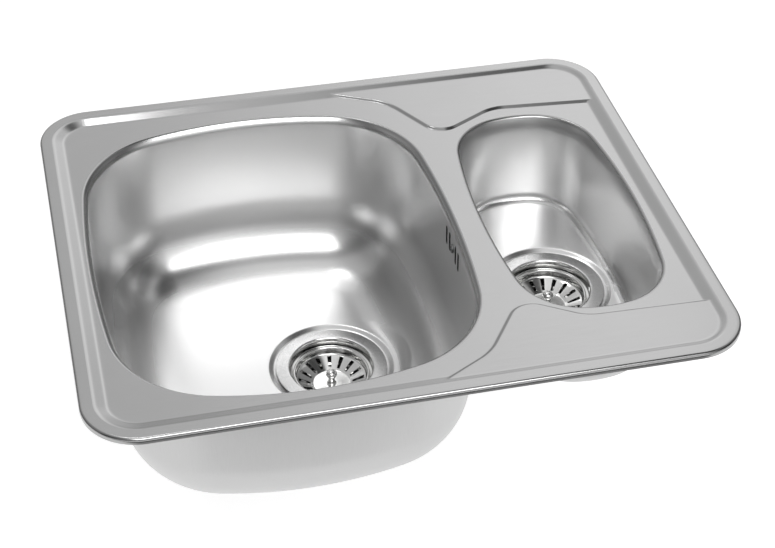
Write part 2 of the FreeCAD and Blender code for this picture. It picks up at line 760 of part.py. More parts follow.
def basket(name):
    """Strainer basket: rolled rim, slotted cone and flat base."""
    skin = "Sizes.basket_skin"
    base = "-Sizes.basket_base_drop"
    rim = "Sizes.basket_rim_radius"
    dish = turned(name + "_dish", [
        ("Sizes.stem_radius", base + " - " + skin),
        ("Sizes.basket_base_radius", base + " - " + skin),
        ("Sizes.basket_shoulder", "-Sizes.basket_shoulder_drop - " + skin),
        (rim + " - Sizes.basket_skin", "-Sizes.basket_rim_drop"),
        (rim + " - 2 * Sizes.basket_skin", "-Sizes.basket_rim_drop"),
        ("Sizes.basket_shoulder - " + skin, "-Sizes.basket_shoulder_drop"),
        ("Sizes.basket_base_radius", base),
        ("Sizes.stem_radius", base),
    ])
    doc.recompute()
    half = "0.5 * Sizes.slot_width"
    slot = closed_sketch(dish, name + "_slot", "XY_Plane", [
        ("Sizes.slot_inner", "-" + half),
        ("Sizes.slot_outer", "-" + half),
        ("Sizes.slot_outer", half),
        ("Sizes.slot_inner", half),
    ])
    pocket = dish.newObject("PartDesign::Pocket", name + "_pocket")
    pocket.Profile = slot
    pocket.setExpression("Length", "Sizes.basket_base_drop + Sizes.overrun")
    doc.recompute()
    pattern = dish.newObject("PartDesign::PolarPattern", name + "_slots")
    pattern.Originals = [pocket]
    pattern.Axis = (slot, ["N_Axis"])
    pattern.Angle = 360
    pattern.Occurrences = COUNTS["slot_count"]
    dish.Tip = pattern
    dish.Placement = Placement(Vector(), Rotation(Vector(0, 0, 1), ANGLES["slot_turn"]))
    bead =doc.addObject("Part::Torus", name + "_bead")
    bead.setExpression("Radius1", "Sizes.basket_rim_radius")
    bead.setExpression("Radius2", "Sizes.basket_bead")
    place(bead, "0", "0", "-Sizes.basket_rim_drop")
    return joined(name, [dish, bead])


def basket_stem(name):
    """Stem with a round knob, riveted through the basket's base."""
    base = "-Sizes.basket_base_drop"
    stem = turned(name + "_shank", [
        ("0", base + " - Sizes.basket_skin - Sizes.plug_web"),
        ("Sizes.stem_radius", base + " - Sizes.basket_skin - Sizes.plug_web"),
        ("Sizes.stem_radius", base),
        ("Sizes.stem_foot_radius", base),
        ("Sizes.stem_radius", base + " + Sizes.stem_foot"),
        ("Sizes.stem_radius", "-Sizes.knob_drop"),
        ("0", "-Sizes.knob_drop"),
    ])
    knob = doc.addObject("Part::Sphere", name + "_knob")
    knob.setExpression("Radius", "Sizes.knob_radius")
    place(knob, "0", "0", "-Sizes.knob_drop")
    return joined(name, [stem, knob])


def basket_plug(name):
    """Rubber plug under the basket that closes the cup's floor."""
    top = "-Sizes.basket_base_drop - Sizes.basket_skin"
    low = CUP_FLOOR + " + Sizes.seat_clearance"
    return turned(name, [
        ("Sizes.stem_radius", top),
        ("Sizes.basket_base_radius", top),
        ("Sizes.plug_radius", top + " - Sizes.plug_slope"),
        ("Sizes.plug_radius", low),
        ("Sizes.plug_radius - Sizes.plug_lip", low),
        ("Sizes.basket_base_radius - Sizes.plug_web", top + " - Sizes.plug_web"),
        ("Sizes.stem_radius", top + " - Sizes.plug_web"),
    ])


def make_waste(bowl, prefix, with_spigot):
    """All pieces of one strainer waste, set at its bowl's drain."""
    pieces = {
        "flange_gasket": flange_gasket(prefix + "_flange_gasket"),
        "strainer_cup": strainer_cup(prefix + "_strainer_cup"),
        "lower_gasket": lower_gasket(prefix + "_lower_gasket"),
        "waste_body": waste_body(prefix + "_waste_body", with_spigot),
        "centre_bolt": centre_bolt(prefix + "_centre_bolt"),
        "insert_nut": insert_nut(prefix + "_insert_nut"),
        "basket": basket(prefix + "_basket"),
        "basket_stem": basket_stem(prefix + "_basket_stem"),
        "basket_plug": basket_plug(prefix + "_basket_plug"),
    }
    for name, piece in pieces.items():
        subpart(place(piece, *bowl["drain_at"]), f"{prefix}_{name}")


# Overflow behind the main bowl's right wall

def rounded_plate(width, height, radius, start, depth):
    """Plate with round corners in the local YZ plane, from start along local X."""
    y = width / 2
    z = height / 2
    corners = [Vector(-y, -z, 0), Vector(y, -z, 0), Vector(y, z, 0), Vector(-y, z, 0)]
    plate = Part.Face(rounded_wire(corners, [radius] * len(corners), 0)).extrude(Vector(0, 0, depth))
    upright = Rotation(Vector(1, 1, 1), 120)
    plate.Placement = Placement(Vector(start, 0, 0), upright)
    return plate


def make_overflow():
    """Gasket, housing with a hose spigot, and the screw that holds them."""
    frame = overflow_frame()
    width = cell.housing_width
    height = cell.housing_height
    depth = 2 * cell.spigot_radius
    corner = cell.housing_corner
    seat = cell.housing_gasket
    band = cell.gasket_band
    wall = cell.housing_wall
    outward = Vector(1, 0, 0)
    down = Vector(0, 0, -1)

    gasket = rounded_plate(width, height, corner, -seat, 2 * seat)
    hollow = rounded_plate(width - 2 * band, height - 2 * band, corner - band, -2 * seat, 4 * seat)
    gasket = gasket.cut(hollow)
    gasket.Placement = frame
    subpart(shape_of("overflow_gasket", gasket.cut(bowl_form(MAIN, cell.skin))), "overflow_gasket")

    housing = rounded_plate(width, height, corner, seat, depth)
    inside = rounded_plate(width - 2 * band, height - 2 * band, corner - band, seat - wall, depth)
    post = Part.makeCylinder(cell.post_radius, depth, Vector(seat, 0, 0), outward)
    middle = seat + cell.spigot_radius
    spigot = Part.makeCylinder(cell.spigot_radius, cell.spigot_reach + band,
                               Vector(middle, 0, band - height / 2), down)
    way = Part.makeCylinder(cell.spigot_radius - cell.spigot_wall, height / 2 + cell.spigot_reach,
                            Vector(middle, 0, -cell.post_radius), down)
    screw_way = Part.makeCylinder(cell.screw_radius + cell.thread_clearance, depth - wall,
                                  Vector(seat, 0, 0), outward)
    housing = housing.cut(inside).fuse([spigot, post]).cut(way).cut(screw_way)
    housing.Placement = frame
    subpart(shape_of("overflow_housing", housing), "overflow_housing")

    top = -cell.skin - 2 * cell.thread_clearance - cell.screw_head
    head = Part.makeCylinder(cell.screw_head_radius, cell.screw_head, Vector(top, 0, 0), outward)
    start = top + cell.screw_head
    shank = Part.makeCylinder(cell.screw_radius, seat + depth - 2 * wall - start, Vector(start, 0, 0), outward)
    recess = Part.makeCylinder(cell.screw_recess_radius, cell.screw_recess, Vector(top, 0, 0), outward)
    screw = head.fuse(shank).cut(recess)
    screw.Placement = frame
    subpart(shape_of("overflow_screw", screw), "overflow_screw")


# Folding worktop clamps, each built about its hinge pin and folded inward along local +Y

BRACKET_GAP = "(Sizes.arm_width + 2 * Sizes.cheek_clearance)"
BRACKET_WIDTH = f"({BRACKET_GAP} + 2 * Sizes.cheek_thickness)"
CLAMP_SCREW_LEVEL = "(Sizes.clamp_nut_radius - Sizes.foot_length)"
HINGE_LEVEL = f"({DECK_LEVEL} - Sizes.skin - Sizes.clamp_drop)"


def clamp_bracket(name, lift):
    """Pair of cheeks with a bridge, welded under the deck."""
    height = f"Sizes.clamp_drop + Sizes.eye_radius + {lift}"
    shell = block(name + "_shell", BRACKET_WIDTH, "Sizes.cheek_width", height, x=f"-0.5 * {BRACKET_WIDTH}",
                  y="-0.5 * Sizes.cheek_width", z="-Sizes.eye_radius")
    room = block(name + "_room", BRACKET_GAP, "Sizes.cheek_width + 2 * Sizes.overrun",
                 f"{height} - Sizes.cheek_thickness + Sizes.overrun", x=f"-0.5 * {BRACKET_GAP}",
                 y="-0.5 * Sizes.cheek_width - Sizes.overrun", z="-Sizes.eye_radius - Sizes.overrun")
    bore = rod(name + "_bore", "Sizes.pin_radius", f"{BRACKET_WIDTH} + 2 * Sizes.overrun",
               x=f"-0.5 * {BRACKET_WIDTH} - Sizes.overrun", turn=ALONG_X)
    return less(name, less(name + "_frame", shell, room), bore)


def clamp_arm(name):
    """Bent arm: hinge eye, leg, foot and a threaded boss for the clamp screw."""
    width = "Sizes.arm_width"
    across = "-0.5 * Sizes.arm_width"
    skin = "Sizes.arm_thickness"
    boss_y = "Sizes.leg_length - Sizes.clamp_nut_length"
    solid = joined(name + "_solid", [
        rod(name + "_eye", "Sizes.eye_radius", width, x=across, turn=ALONG_X),
        block(name + "_leg", width, "Sizes.leg_length", skin, x=across, z="-0.5 * " + skin),
        block(name + "_foot", width, skin, "Sizes.foot_length + 0.5 * " + skin, x=across,
              y="Sizes.leg_length - " + skin, z="-Sizes.foot_length"),
        rod(name + "_boss", "Sizes.clamp_nut_radius", "Sizes.clamp_nut_length", y=boss_y,
            z=CLAMP_SCREW_LEVEL, turn=ALONG_Y),
    ])
    ways = joined(name + "_ways", [
        rod(name + "_pin_way", "Sizes.pin_radius + Sizes.pin_clearance", f"{width} + 2 * Sizes.overrun",
            x=f"{across} - Sizes.overrun", turn=ALONG_X),
        rod(name + "_screw_way", "Sizes.clamp_screw_radius + Sizes.thread_clearance",
            "Sizes.clamp_nut_length + 2 * Sizes.overrun", y=boss_y + " - Sizes.overrun",
            z=CLAMP_SCREW_LEVEL, turn=ALONG_Y),
    ])
    return less(name, solid, ways)


def clamp_screw(name):
    """Screw with a round head beyond the foot and a flat tip towards the worktop."""
    head_y = "Sizes.leg_length + Sizes.clamp_screw_gap"
    return joined(name, [
        rod(name + "_shank", "Sizes.clamp_screw_radius", f"{head_y} - Sizes.clamp_reach", y="Sizes.clamp_reach",
            z=CLAMP_SCREW_LEVEL, turn=ALONG_Y),
        rod(name + "_head", "Sizes.clamp_screw_head_radius", "Sizes.clamp_screw_head", y=head_y,
            z=CLAMP_SCREW_LEVEL, turn=ALONG_Y),
        rod(name + "_tip", "Sizes.clamp_tip_radius", "Sizes.clamp_tip", y="Sizes.clamp_reach",
            z=CLAMP_SCREW_LEVEL, turn=ALONG_Y),
    ])


def clamp_places():
    """Name, hinge centre, turn and rise of the deck above each clamp."""
    reach = f"(0.5 * {SINK_DEPTH} - Sizes.clamp_setback)"
    rise = "(Sizes.deck_fall - Sizes.ledge_fall)"
    spots = {
        "left": (f"(-0.5 * {SINK_WIDTH} + Sizes.clamp_left_setback)", "0"),
        "middle": (f"({MAIN_CENTRE} + 0.5 * Sizes.main_width + 0.5 * Sizes.bowl_gap)", rise),
        "right": (f"(0.5 * {SINK_WIDTH} - Sizes.clamp_right_setback)", rise),
    }
    for side, along, angle in (("front", f"-{reach}", 0), ("back", reach, 180)):
        for spot, (across, lift) in spots.items():
            yield f"{side}_{spot}", (across, along, HINGE_LEVEL), Rotation(Vector(0, 0, 1), angle), lift


def make_clamps():
    """Six folding clamps: welded brackets, hinge pins, and an arm and a screw each."""
    brackets = []
    pins = []
    for spot, (across, along, level), turn, lift in clamp_places():
        brackets.append(clamp_bracket(f"bracket_{spot}", lift))
        pieces = [brackets[-1], subpart(clamp_arm(f"clamp_arm_{spot}"), f"clamp_arm_{spot}"),
                  subpart(clamp_screw(f"clamp_screw_{spot}"), f"clamp_screw_{spot}")]
        for piece in pieces:
            piece.Placement = Placement(Vector(), turn)
            place(piece, across, along, level)
        pins.append(rod(f"pin_{spot}", "Sizes.pin_radius", BRACKET_WIDTH, x=f"{across} - 0.5 * {BRACKET_WIDTH}",
                        y=along, z=level, turn=ALONG_X))
    subpart(group("clamp_brackets", brackets), "clamp_brackets")
    subpart(group("clamp_pins", pins), "clamp_pins")


make_deck()
make_rim_seal()
make_main_bowl()
make_half_bowl()
make_sound_pads()
make_waste(MAIN, "main", True)
make_waste(HALF, "half", False)
make_overflow()
make_clamps()
doc.recompute()

for thing in doc.Objects:
    if "Invalid" in thing.State or "Error" in thing.State:
        raise RuntimeError(f"{thing.Label} did not compute: {thing.State}")

os.makedirs("parts", exist_ok=True)
for thing in SUBPARTS:
    shape = thing.Shape
    if shape.isNull() or not shape.isValid() or not shape.Solids:
        raise RuntimeError(f"{thing.Label} has no valid solid")
    shape.exportStep(f"parts/{thing.Label}.step")
    box = shape.BoundBox
    print(f"{thing.Label}: {len(shape.Solids)} solid(s), {shape.Volume:.0f} mm3, "
          f"x {box.XMin:.1f} to {box.XMax:.1f}, y {box.YMin:.1f} to {box.YMax:.1f}, z {box.ZMin:.1f} to {box.ZMax:.1f}")
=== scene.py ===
# %% [markdown]
# # Dressing an inset kitchen sink in Blender
# The sink comes in as a finished CAD model, in metres. The notebook keeps its sizes and places
# and gives it the smooth pressed skins, the polished strainers, the finishes and the studio light
# that a product photograph has. Almost everything new is a surface worked out with numpy on a
# grid of rows and columns.

# %% Load the fixed frame
import bmesh
import bpy
import json
import math
import numpy as np
from mathutils import Matrix, Vector
from mathutils.geometry import delaunay_2d_cdt
from numpy.linalg import norm


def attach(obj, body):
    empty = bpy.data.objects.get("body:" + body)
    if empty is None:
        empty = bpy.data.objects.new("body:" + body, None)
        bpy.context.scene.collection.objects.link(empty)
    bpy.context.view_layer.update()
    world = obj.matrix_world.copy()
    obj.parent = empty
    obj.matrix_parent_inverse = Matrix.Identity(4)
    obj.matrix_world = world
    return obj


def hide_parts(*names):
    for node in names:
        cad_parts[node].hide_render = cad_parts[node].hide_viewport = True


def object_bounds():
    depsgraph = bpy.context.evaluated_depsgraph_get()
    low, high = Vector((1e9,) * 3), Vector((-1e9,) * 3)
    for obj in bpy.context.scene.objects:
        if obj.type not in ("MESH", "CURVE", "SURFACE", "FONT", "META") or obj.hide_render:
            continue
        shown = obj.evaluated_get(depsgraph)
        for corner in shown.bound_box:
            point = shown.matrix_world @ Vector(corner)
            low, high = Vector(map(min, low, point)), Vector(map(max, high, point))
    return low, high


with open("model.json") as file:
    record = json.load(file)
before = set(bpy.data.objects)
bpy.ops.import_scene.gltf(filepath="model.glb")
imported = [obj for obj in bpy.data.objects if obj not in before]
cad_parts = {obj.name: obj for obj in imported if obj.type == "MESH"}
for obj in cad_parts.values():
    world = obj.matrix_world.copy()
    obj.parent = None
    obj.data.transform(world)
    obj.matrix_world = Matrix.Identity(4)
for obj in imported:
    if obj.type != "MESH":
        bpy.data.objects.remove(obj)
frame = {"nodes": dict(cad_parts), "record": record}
cad_box = [list(corner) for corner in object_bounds()]
MM = 0.001
link = bpy.context.scene.collection.objects.link
print(len(frame["nodes"]), "nodes, box", np.round(cad_box, 4).tolist())

# %% [markdown]
# ## The camera
# A photograph fixes the camera by three turns and a place. These were found by matching the
# corners of the rim, the bowls and the strainers, whose real sizes the CAD model knows. Building
# the three axes of the view from the angles keeps the numbers few and plain.

# %% Camera at the photograph's angle
PHOTO_WIDTH = 775
SENSOR = 36.0
FOCAL_PIXELS = 1743.57
YAW, PITCH, ROLL = -0.246723, 0.683544, 0.020200
VIEW_PLACE = (-0.309787, -1.304597, 1.033712)


def view_axes(yaw, pitch, roll):
    """Right, up and back axes of a view: back leans by the pitch, the roll turns the others."""
    flat = math.cos(pitch)
    back = Vector((math.sin(yaw) * flat, -math.cos(yaw) * flat, math.sin(pitch)))
    level = Vector((math.cos(yaw), math.sin(yaw), 0))
    upright = back.cross(level)
    right = math.cos(roll) * level + math.sin(roll) * upright
    up = math.cos(roll) * upright - math.sin(roll) * level
    return right, up, back


view = bpy.data.cameras.new("view")
view.sensor_width = SENSOR
view.lens = FOCAL_PIXELS / PHOTO_WIDTH * SENSOR
view.clip_end = 50
camera = bpy.data.objects.new("view", view)
link(camera)
turn = Matrix(view_axes(YAW, PITCH, ROLL)).transposed()
camera.matrix_world = Matrix.Translation(VIEW_PLACE) @ turn.to_4x4()
bpy.context.scene.camera = camera
print("lens", round(view.lens, 2), "mm")

# %% [markdown]
# ## Meshes from grids
# Most skins are grids: rows run down the profile and columns run round the outline. One helper
# lists the quads between neighbouring rows and columns, and one turns an array of points in
# millimetres into a piece.

# %% Grid faces and pieces
def grid_faces(rows, columns, wrap=True):
    """Quads between neighbouring rows and columns. With wrap, the last column meets the first."""
    row = np.arange(rows - 1)[:, None] * columns
    column = np.arange(columns if wrap else columns - 1)[None, :]
    ahead = (column + 1) % columns
    corners = [row + column, row + ahead, row + columns + ahead, row + columns + column]
    return np.stack(corners, axis=-1).reshape(-1, 4)


polished = []


def piece(name, points, faces, body, slot, replaced=()):
    """Smooth mesh from points in millimetres and lists of corners, riding on a CAD body."""
    mesh = bpy.data.meshes.new(name)
    places = np.asarray(points, float).reshape(-1, 3) * MM
    mesh.from_pydata(places.tolist(), [], [list(face) for face in faces])
    mesh.validate()
    mesh.shade_smooth()
    thing = bpy.data.objects.new(name, mesh)
    link(thing)
    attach(thing, body)
    if replaced:
        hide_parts(*replaced)
    if slot == "polished_steel":
        polished.append(thing)
    return thing


def tidy_mesh(thing, outward=False, gap=0.001):
    """Merges points closer than a gap in millimetres, and turns a closed form's faces outward."""
    work = bmesh.new()
    work.from_mesh(thing.data)
    bmesh.ops.remove_doubles(work, verts=work.verts, dist=gap * MM)
    if outward:
        bmesh.ops.recalc_face_normals(work, faces=work.faces)
    work.to_mesh(thing.data)
    work.free()
    return thing


def walled(thing, thickness):
    """Gives a sheet its thickness in millimetres behind its faces, with crisp cut edges."""
    mesh = thing.data
    uses = np.empty(len(mesh.loops), dtype=np.int32)
    mesh.loops.foreach_get("edge_index", uses)
    border = np.bincount(uses, minlength=len(mesh.edges)) == 1
    mesh.edges.foreach_set("use_edge_sharp", border)
    solid = thing.modifiers.new("wall", "SOLIDIFY")
    solid.thickness = thickness * MM
    solid.offset = -1
    solid.use_even_offset = True
    return thing


# %% [markdown]
# ## Outlines
# The rim is a rounded rectangle and each bowl is a closed chain of eight arcs that touch without
# a corner. When such an outline is drawn inward, every arc keeps its centre, so a ring at any
# inset is the outline's points less the inset times their outward directions. The inset of any
# point can be found back from the arc whose sector it lies in.

# %% Outline of arcs
def arc_ring(arcs):
    """Points and outward directions along arcs: centre plus radius times direction.

    Each arc is given as its centre, radius, first and last angle, and number of steps.
    """
    points, outward = [], []
    for centre, radius, first, last, steps in arcs:
        angle = first + (last - first) * np.arange(steps) / steps
        direction = np.stack([np.cos(angle), np.sin(angle)], axis=1)
        points.append(np.asarray(centre) + radius * direction)
        outward.append(direction)
    return np.concatenate(points), np.concatenate(outward)


def rounded_rectangle(half_width, half_length, corner, side_steps, end_steps, corner_steps):
    """Outline with round corners. A straight side is points spread between two corner arcs."""
    x, y = half_width - corner, half_length - corner
    points, outward = [], []
    quarters = [((x, y), 0), ((-x, y), 1), ((-x, -y), 2), ((x, -y), 3)]
    for index, (centre, turn) in enumerate(quarters):
        angle = (turn + 1) * math.pi / 2
        arc, direction = arc_ring([(centre, corner, turn * math.pi / 2, angle, corner_steps)])
        points.append(arc)
        outward.append(direction)
        normal = np.array([math.cos(angle), math.sin(angle)])
        start = np.asarray(centre) + corner * normal
        stop = np.asarray(quarters[(index + 1) % 4][0]) + corner * normal
        steps = end_steps if turn % 2 == 0 else side_steps
        share = (np.arange(steps) / steps)[:, None]
        points.append(start + (stop - start) * share)
        outward.append(np.repeat(normal[None, :], steps, axis=0))
    return np.concatenate(points), np.concatenate(outward)


class Oval:
    """Bowl outline of eight tangent arcs: two bowed sides, two bowed ends and four corners."""

    def __init__(self, centre, width, length, side, end, corner):
        self.centre = np.asarray(centre, float)
        self.side, self.end, self.corner = side, end, corner
        self.side_centre = np.array([width / 2 - side, 0.0])
        self.end_centre = np.array([0.0, length / 2 - end])
        between = self.end_centre - self.side_centre
        distance = np.hypot(*between)
        reach, other = side - corner, end - corner
        along = (reach ** 2 - other ** 2 + distance ** 2) / (2 * distance)
        unit = between / distance
        normal = np.array([-unit[1], unit[0]])
        aside = math.sqrt(reach ** 2 - along ** 2)
        self.corner_centre = self.side_centre + unit * along + normal * aside
        self.from_side = self.corner_centre - self.side_centre
        self.from_end = self.corner_centre - self.end_centre

    def ring(self, side_steps=40, corner_steps=26, end_steps=26):
        """Points at no inset and their outward directions, anticlockwise from the right side."""
        a, b = [math.atan2(y, x) for x, y in (self.from_side, self.from_end)]
        side, end, corner = self.side_centre, self.end_centre, self.corner_centre
        flip = np.array([-1.0, 1.0])
        points, outward = arc_ring([
            (side, self.side, -a, a, side_steps),
            (corner, self.corner, a, b, corner_steps),
            (end, self.end, b, math.pi - b, end_steps),
            (corner * flip, self.corner, math.pi - b, math.pi - a, corner_steps),
            (-side, self.side, math.pi - a, math.pi + a, side_steps),
            (-corner, self.corner, math.pi + a, math.pi + b, corner_steps),
            (-end, self.end, math.pi + b, 2 * math.pi - b, end_steps),
            (corner * -flip, self.corner, 2 * math.pi - b, 2 * math.pi - a, corner_steps),
        ])
        return points + self.centre, outward

    def inset(self, points):
        """How far inside points lie: the radius of their sector's arc, less their distance."""
        folded = np.abs(points - self.centre)
        from_corner = folded - self.corner_centre
        x, y = from_corner[..., 0], from_corner[..., 1]
        by_side = self.from_side[0] * y - self.from_side[1] * x < 0
        by_end = x * self.from_end[1] - y * self.from_end[0] < 0
        to_side = self.side - norm(folded - self.side_centre, axis=-1)
        to_end = self.end - norm(folded - self.end_centre, axis=-1)
        to_corner = self.corner - norm(from_corner, axis=-1)
        return np.where(by_side, to_side, np.where(by_end, to_end, to_corner))


def soft_least(first, second, width):
    """Lesser of two heights, rounded over a width where they cross."""
    near = np.maximum(width - np.abs(first - second), 0)
    return np.minimum(first, second) - near ** 2 / (4 * width)


def soft_most(first, second, width):
    """Greater of two heights, rounded over a width where they cross."""
    return -soft_least(-first, -second, width)


# %% Sizes of the sink in millimetres
SKIN = 0.8
RIM_HALF, RIM_CORNER = (300.0, 250.0), 52.0
RIM_TOP, DECK, LEDGE = 6.0, 2.0, 3.8
# The rim's edge is rounded, and its slope runs between two insets from the outline.
EDGE_ROUND, BAND, SLOPE_END = 2.6, 13.0, 24.0
# The deck's holes lie a flange outside the bowls' outlines, and each lip rolls over from there.
FLANGE, LIP_ROUND, LIP_END = 2.0, 3.6, 1.4
RECESS = {"radius": 64.4, "depth": 3.0, "slope": 6.0, "foot": 1.2, "brim": 1.0}
DRAIN_HOLE = 43.9
# The wall leans below the lip and then keeps its draft. Its turn into the floor is meshed by
# rings down to one inset and then by circles about the drain, and gives way beside the recess.
MAIN = {
    "name": "main", "oval": Oval((-94, -6), 354, 420, 1067.01, 395.98, 104.01),
    "draft": 0.5, "lip": 4.5, "lean": 7.0, "floor": -168.0, "round": 73.0,
    "drain": (-40.0, -6.0), "turn_in": 40.0, "circle": 76.0, "ease": 18.0,
}
HALF = {
    "name": "half", "oval": Oval((188, -6), 158.5, 315, 750.02, 130.0, 62.0),
    "draft": 2.0, "lip": 4.0, "lean": 16.0, "floor": -103.5, "round": 11.0,
    "drain": (188.0, -6.0), "turn_in": 11.0, "circle": 66.0, "ease": 3.8,
}
for bowl in (MAIN, HALF):
    print(bowl["name"], "outline, corner centre", bowl["oval"].corner_centre.round(2))

# %% [markdown]
# ## The pressed deck
# A press draws the whole top from one sheet, so every step has soft shoulders: the rim's edge,
# the slope down to the deck all round, and the two raised ledges that cut the slope with long
# S-shaped lines. A height field suits it, because seen from above no part hides another. The rim
# is made of rings, and inside it a Delaunay mesh takes fine points along the slopes and coarse
# ones on the flats.

# %% Lines of the two raised ledges
# Corners as shares of the rim's half sizes, the radii that bend them, and how wide each slope is.
TAP_LEDGE = [(-0.100, 1.000), (0.219, 0.815), (0.353, 0.540), (0.571, 0.682), (1.033, 0.638)]
FRONT_LEDGE = [(-0.100, -1.020), (0.214, -0.813), (0.362, -0.557), (0.545, -0.696),
               (1.033, -0.714)]
LEDGE_BENDS = [60.0, 23.0, 45.0]
LEDGE_RUNS = [5.0, 4.6]


def bent_line(shares, bends, step=0.5):
    """Points along a line whose corners are cut by arcs, and the line's direction at each."""
    corners = np.array(shares) * RIM_HALF
    points = [corners[0]]
    for before, corner, after, radius in zip(corners[:-2], corners[1:-1], corners[2:], bends):
        back = (before - corner) / norm(before - corner)
        ahead = (after - corner) / norm(after - corner)
        half = math.acos(np.clip(back @ ahead, -1, 1)) / 2
        middle = (back + ahead) / norm(back + ahead)
        centre = corner + middle * radius / math.sin(half)
        start = corner + back * radius / math.tan(half) - centre
        stop = corner + ahead * radius / math.tan(half) - centre
        turn = math.atan2(start[0] * stop[1] - start[1] * stop[0], start @ stop)
        angle = np.linspace(0, turn, max(int(abs(turn) * radius / step), 2))
        ring = np.stack([start[0] * np.cos(angle) - start[1] * np.sin(angle),
                         start[0] * np.sin(angle) + start[1] * np.cos(angle)], axis=1)
        points.extend(centre + ring)
    points.append(corners[-1])
    points = np.array(points)
    length = np.concatenate([[0], np.cumsum(norm(np.diff(points, axis=0), axis=1))])
    even = np.arange(0, length[-1], step)
    line = np.stack([np.interp(even, length, points[:, axis]) for axis in (0, 1)], axis=1)
    direction = np.gradient(line, axis=0)
    return line, direction / norm(direction, axis=1)[:, None]


LEDGE_LINES = [bent_line(shares, LEDGE_BENDS) + (side,)
               for shares, side in ((TAP_LEDGE, 1), (FRONT_LEDGE, -1))]
# Points are measured in batches, which saves memory.
BATCH = 4000
NEAR = 12.0


def beyond_line(points, ledge_line):
    """Distance of points beyond a line on its ledge's side: across it when near, else straight."""
    line, direction, side = ledge_line
    result = np.empty(len(points))
    for start in range(0, len(points), BATCH):
        part = points[start:start + BATCH]
        nearest = ((part[:, None, :] - line[None, :, :]) ** 2).sum(-1).argmin(1)
        offset = part - line[nearest]
        across = direction[nearest, 0] * offset[:, 1] - direction[nearest, 1] * offset[:, 0]
        far = norm(offset, axis=1)
        result[start:start + BATCH] = side * np.where(far < NEAR, across, np.sign(across) * far)
    return result


def rim_inset(points):
    """How far inside the rim's outline points lie, from the nearest side or the corner's arc."""
    beyond = np.abs(points) - (np.array(RIM_HALF) - RIM_CORNER)
    outside = norm(np.maximum(beyond, 0), axis=1)
    return RIM_CORNER - outside - np.minimum(beyond.max(axis=1), 0)


SHOULDER, FOOT = 0.9, 0.7


def deck_height(points):
    """Height of the top: the greater of the rim's slope and the level that the ledges raise.

    Over the share s of a ledge's slope, the level rises by 10 s^3 - 15 s^4 + 6 s^5.
    """
    slope = RIM_TOP - (rim_inset(points) - BAND) * (RIM_TOP - DECK) / (SLOPE_END - BAND)
    slope = soft_least(np.full(len(points), RIM_TOP), slope, SHOULDER)
    raised = np.zeros(len(points))
    for ledge_line, run in zip(LEDGE_LINES, LEDGE_RUNS):
        share = np.clip(beyond_line(points, ledge_line) / run + 0.5, 0, 1)
        raised = np.maximum(raised, share ** 3 * (share * (6 * share - 15) + 10))
    return soft_most(slope, DECK + (LEDGE - DECK) * raised, FOOT)


print("ledge lines", [len(line[0]) for line in LEDGE_LINES], "points")

# %% Points of the deck inside the rim's band
RIM_STEPS = {"side_steps": 130, "end_steps": 166, "corner_steps": 30}
rim_points, rim_outward = rounded_rectangle(*RIM_HALF, RIM_CORNER, **RIM_STEPS)
BAND_INSETS = [12.0, 12.6, 13.1, 13.6, 14.2, 15.2, 16.4, 17.6, 18.2, 18.7, 19.1, 19.5, 20.1,
               21.0, 22.2, 23.0, 23.5, 24.0, 24.5, 25.2, 26.5]
# The rings' points end at an inset and stop short of the ledge lines, which have their own.
RINGS_END, LINE_ZONE = 27.2, 4.5
# Strips of points lie beside every fifth point of a line, in steps across it up to a reach.
REACH, ACROSS, EVERY = 4.0, 0.5, 5
# Lattice steps where the ledges meet the slope and on the flats, and room left to the holes.
FINE, WIDE = 0.8, 9.0
ROOM, WIDE_ROOM = 0.6, 3.0


def lattice(step):
    """Square lattice of points over the whole sink."""
    x = np.arange(-RIM_HALF[0], RIM_HALF[0], step) + step / 2
    y = np.arange(-RIM_HALF[1], RIM_HALF[1], step) + step / 2
    return np.stack(np.meshgrid(x, y), axis=-1).reshape(-1, 2)


def in_no_bowl(points, margin):
    """True where points lie outside both bowl openings by a margin."""
    insets = [bowl["oval"].inset(points) for bowl in (MAIN, HALF)]
    return np.maximum(*insets) < -FLANGE - margin


def from_lines(points):
    """Distance of points from the nearer ledge line."""
    return np.minimum(*[np.abs(beyond_line(points, line)) for line in LEDGE_LINES])


beside = []
for line, direction, _ in LEDGE_LINES:
    normal = np.stack([-direction[:, 1], direction[:, 0]], axis=1)
    for offset in np.arange(-REACH, REACH + ACROSS / 2, ACROSS):
        beside.append(line[::EVERY] + normal[::EVERY] * offset)
beside = np.concatenate(beside)
beside = beside[(rim_inset(beside) > RINGS_END) & in_no_bowl(beside, ROOM)]
wide = lattice(WIDE)
wide = wide[(rim_inset(wide) > RINGS_END + 1.8) & in_no_bowl(wide, WIDE_ROOM)]
wide = wide[from_lines(wide) > LINE_ZONE + 1.5]
fine = lattice(FINE)
fine = fine[(rim_inset(fine) > BAND_INSETS[0] + 0.2) & (rim_inset(fine) < RINGS_END + 0.2)]
fine = fine[from_lines(fine) < LINE_ZONE]
print("deck points by the lines", len(beside), "at the slope", len(fine), "flat", len(wide))

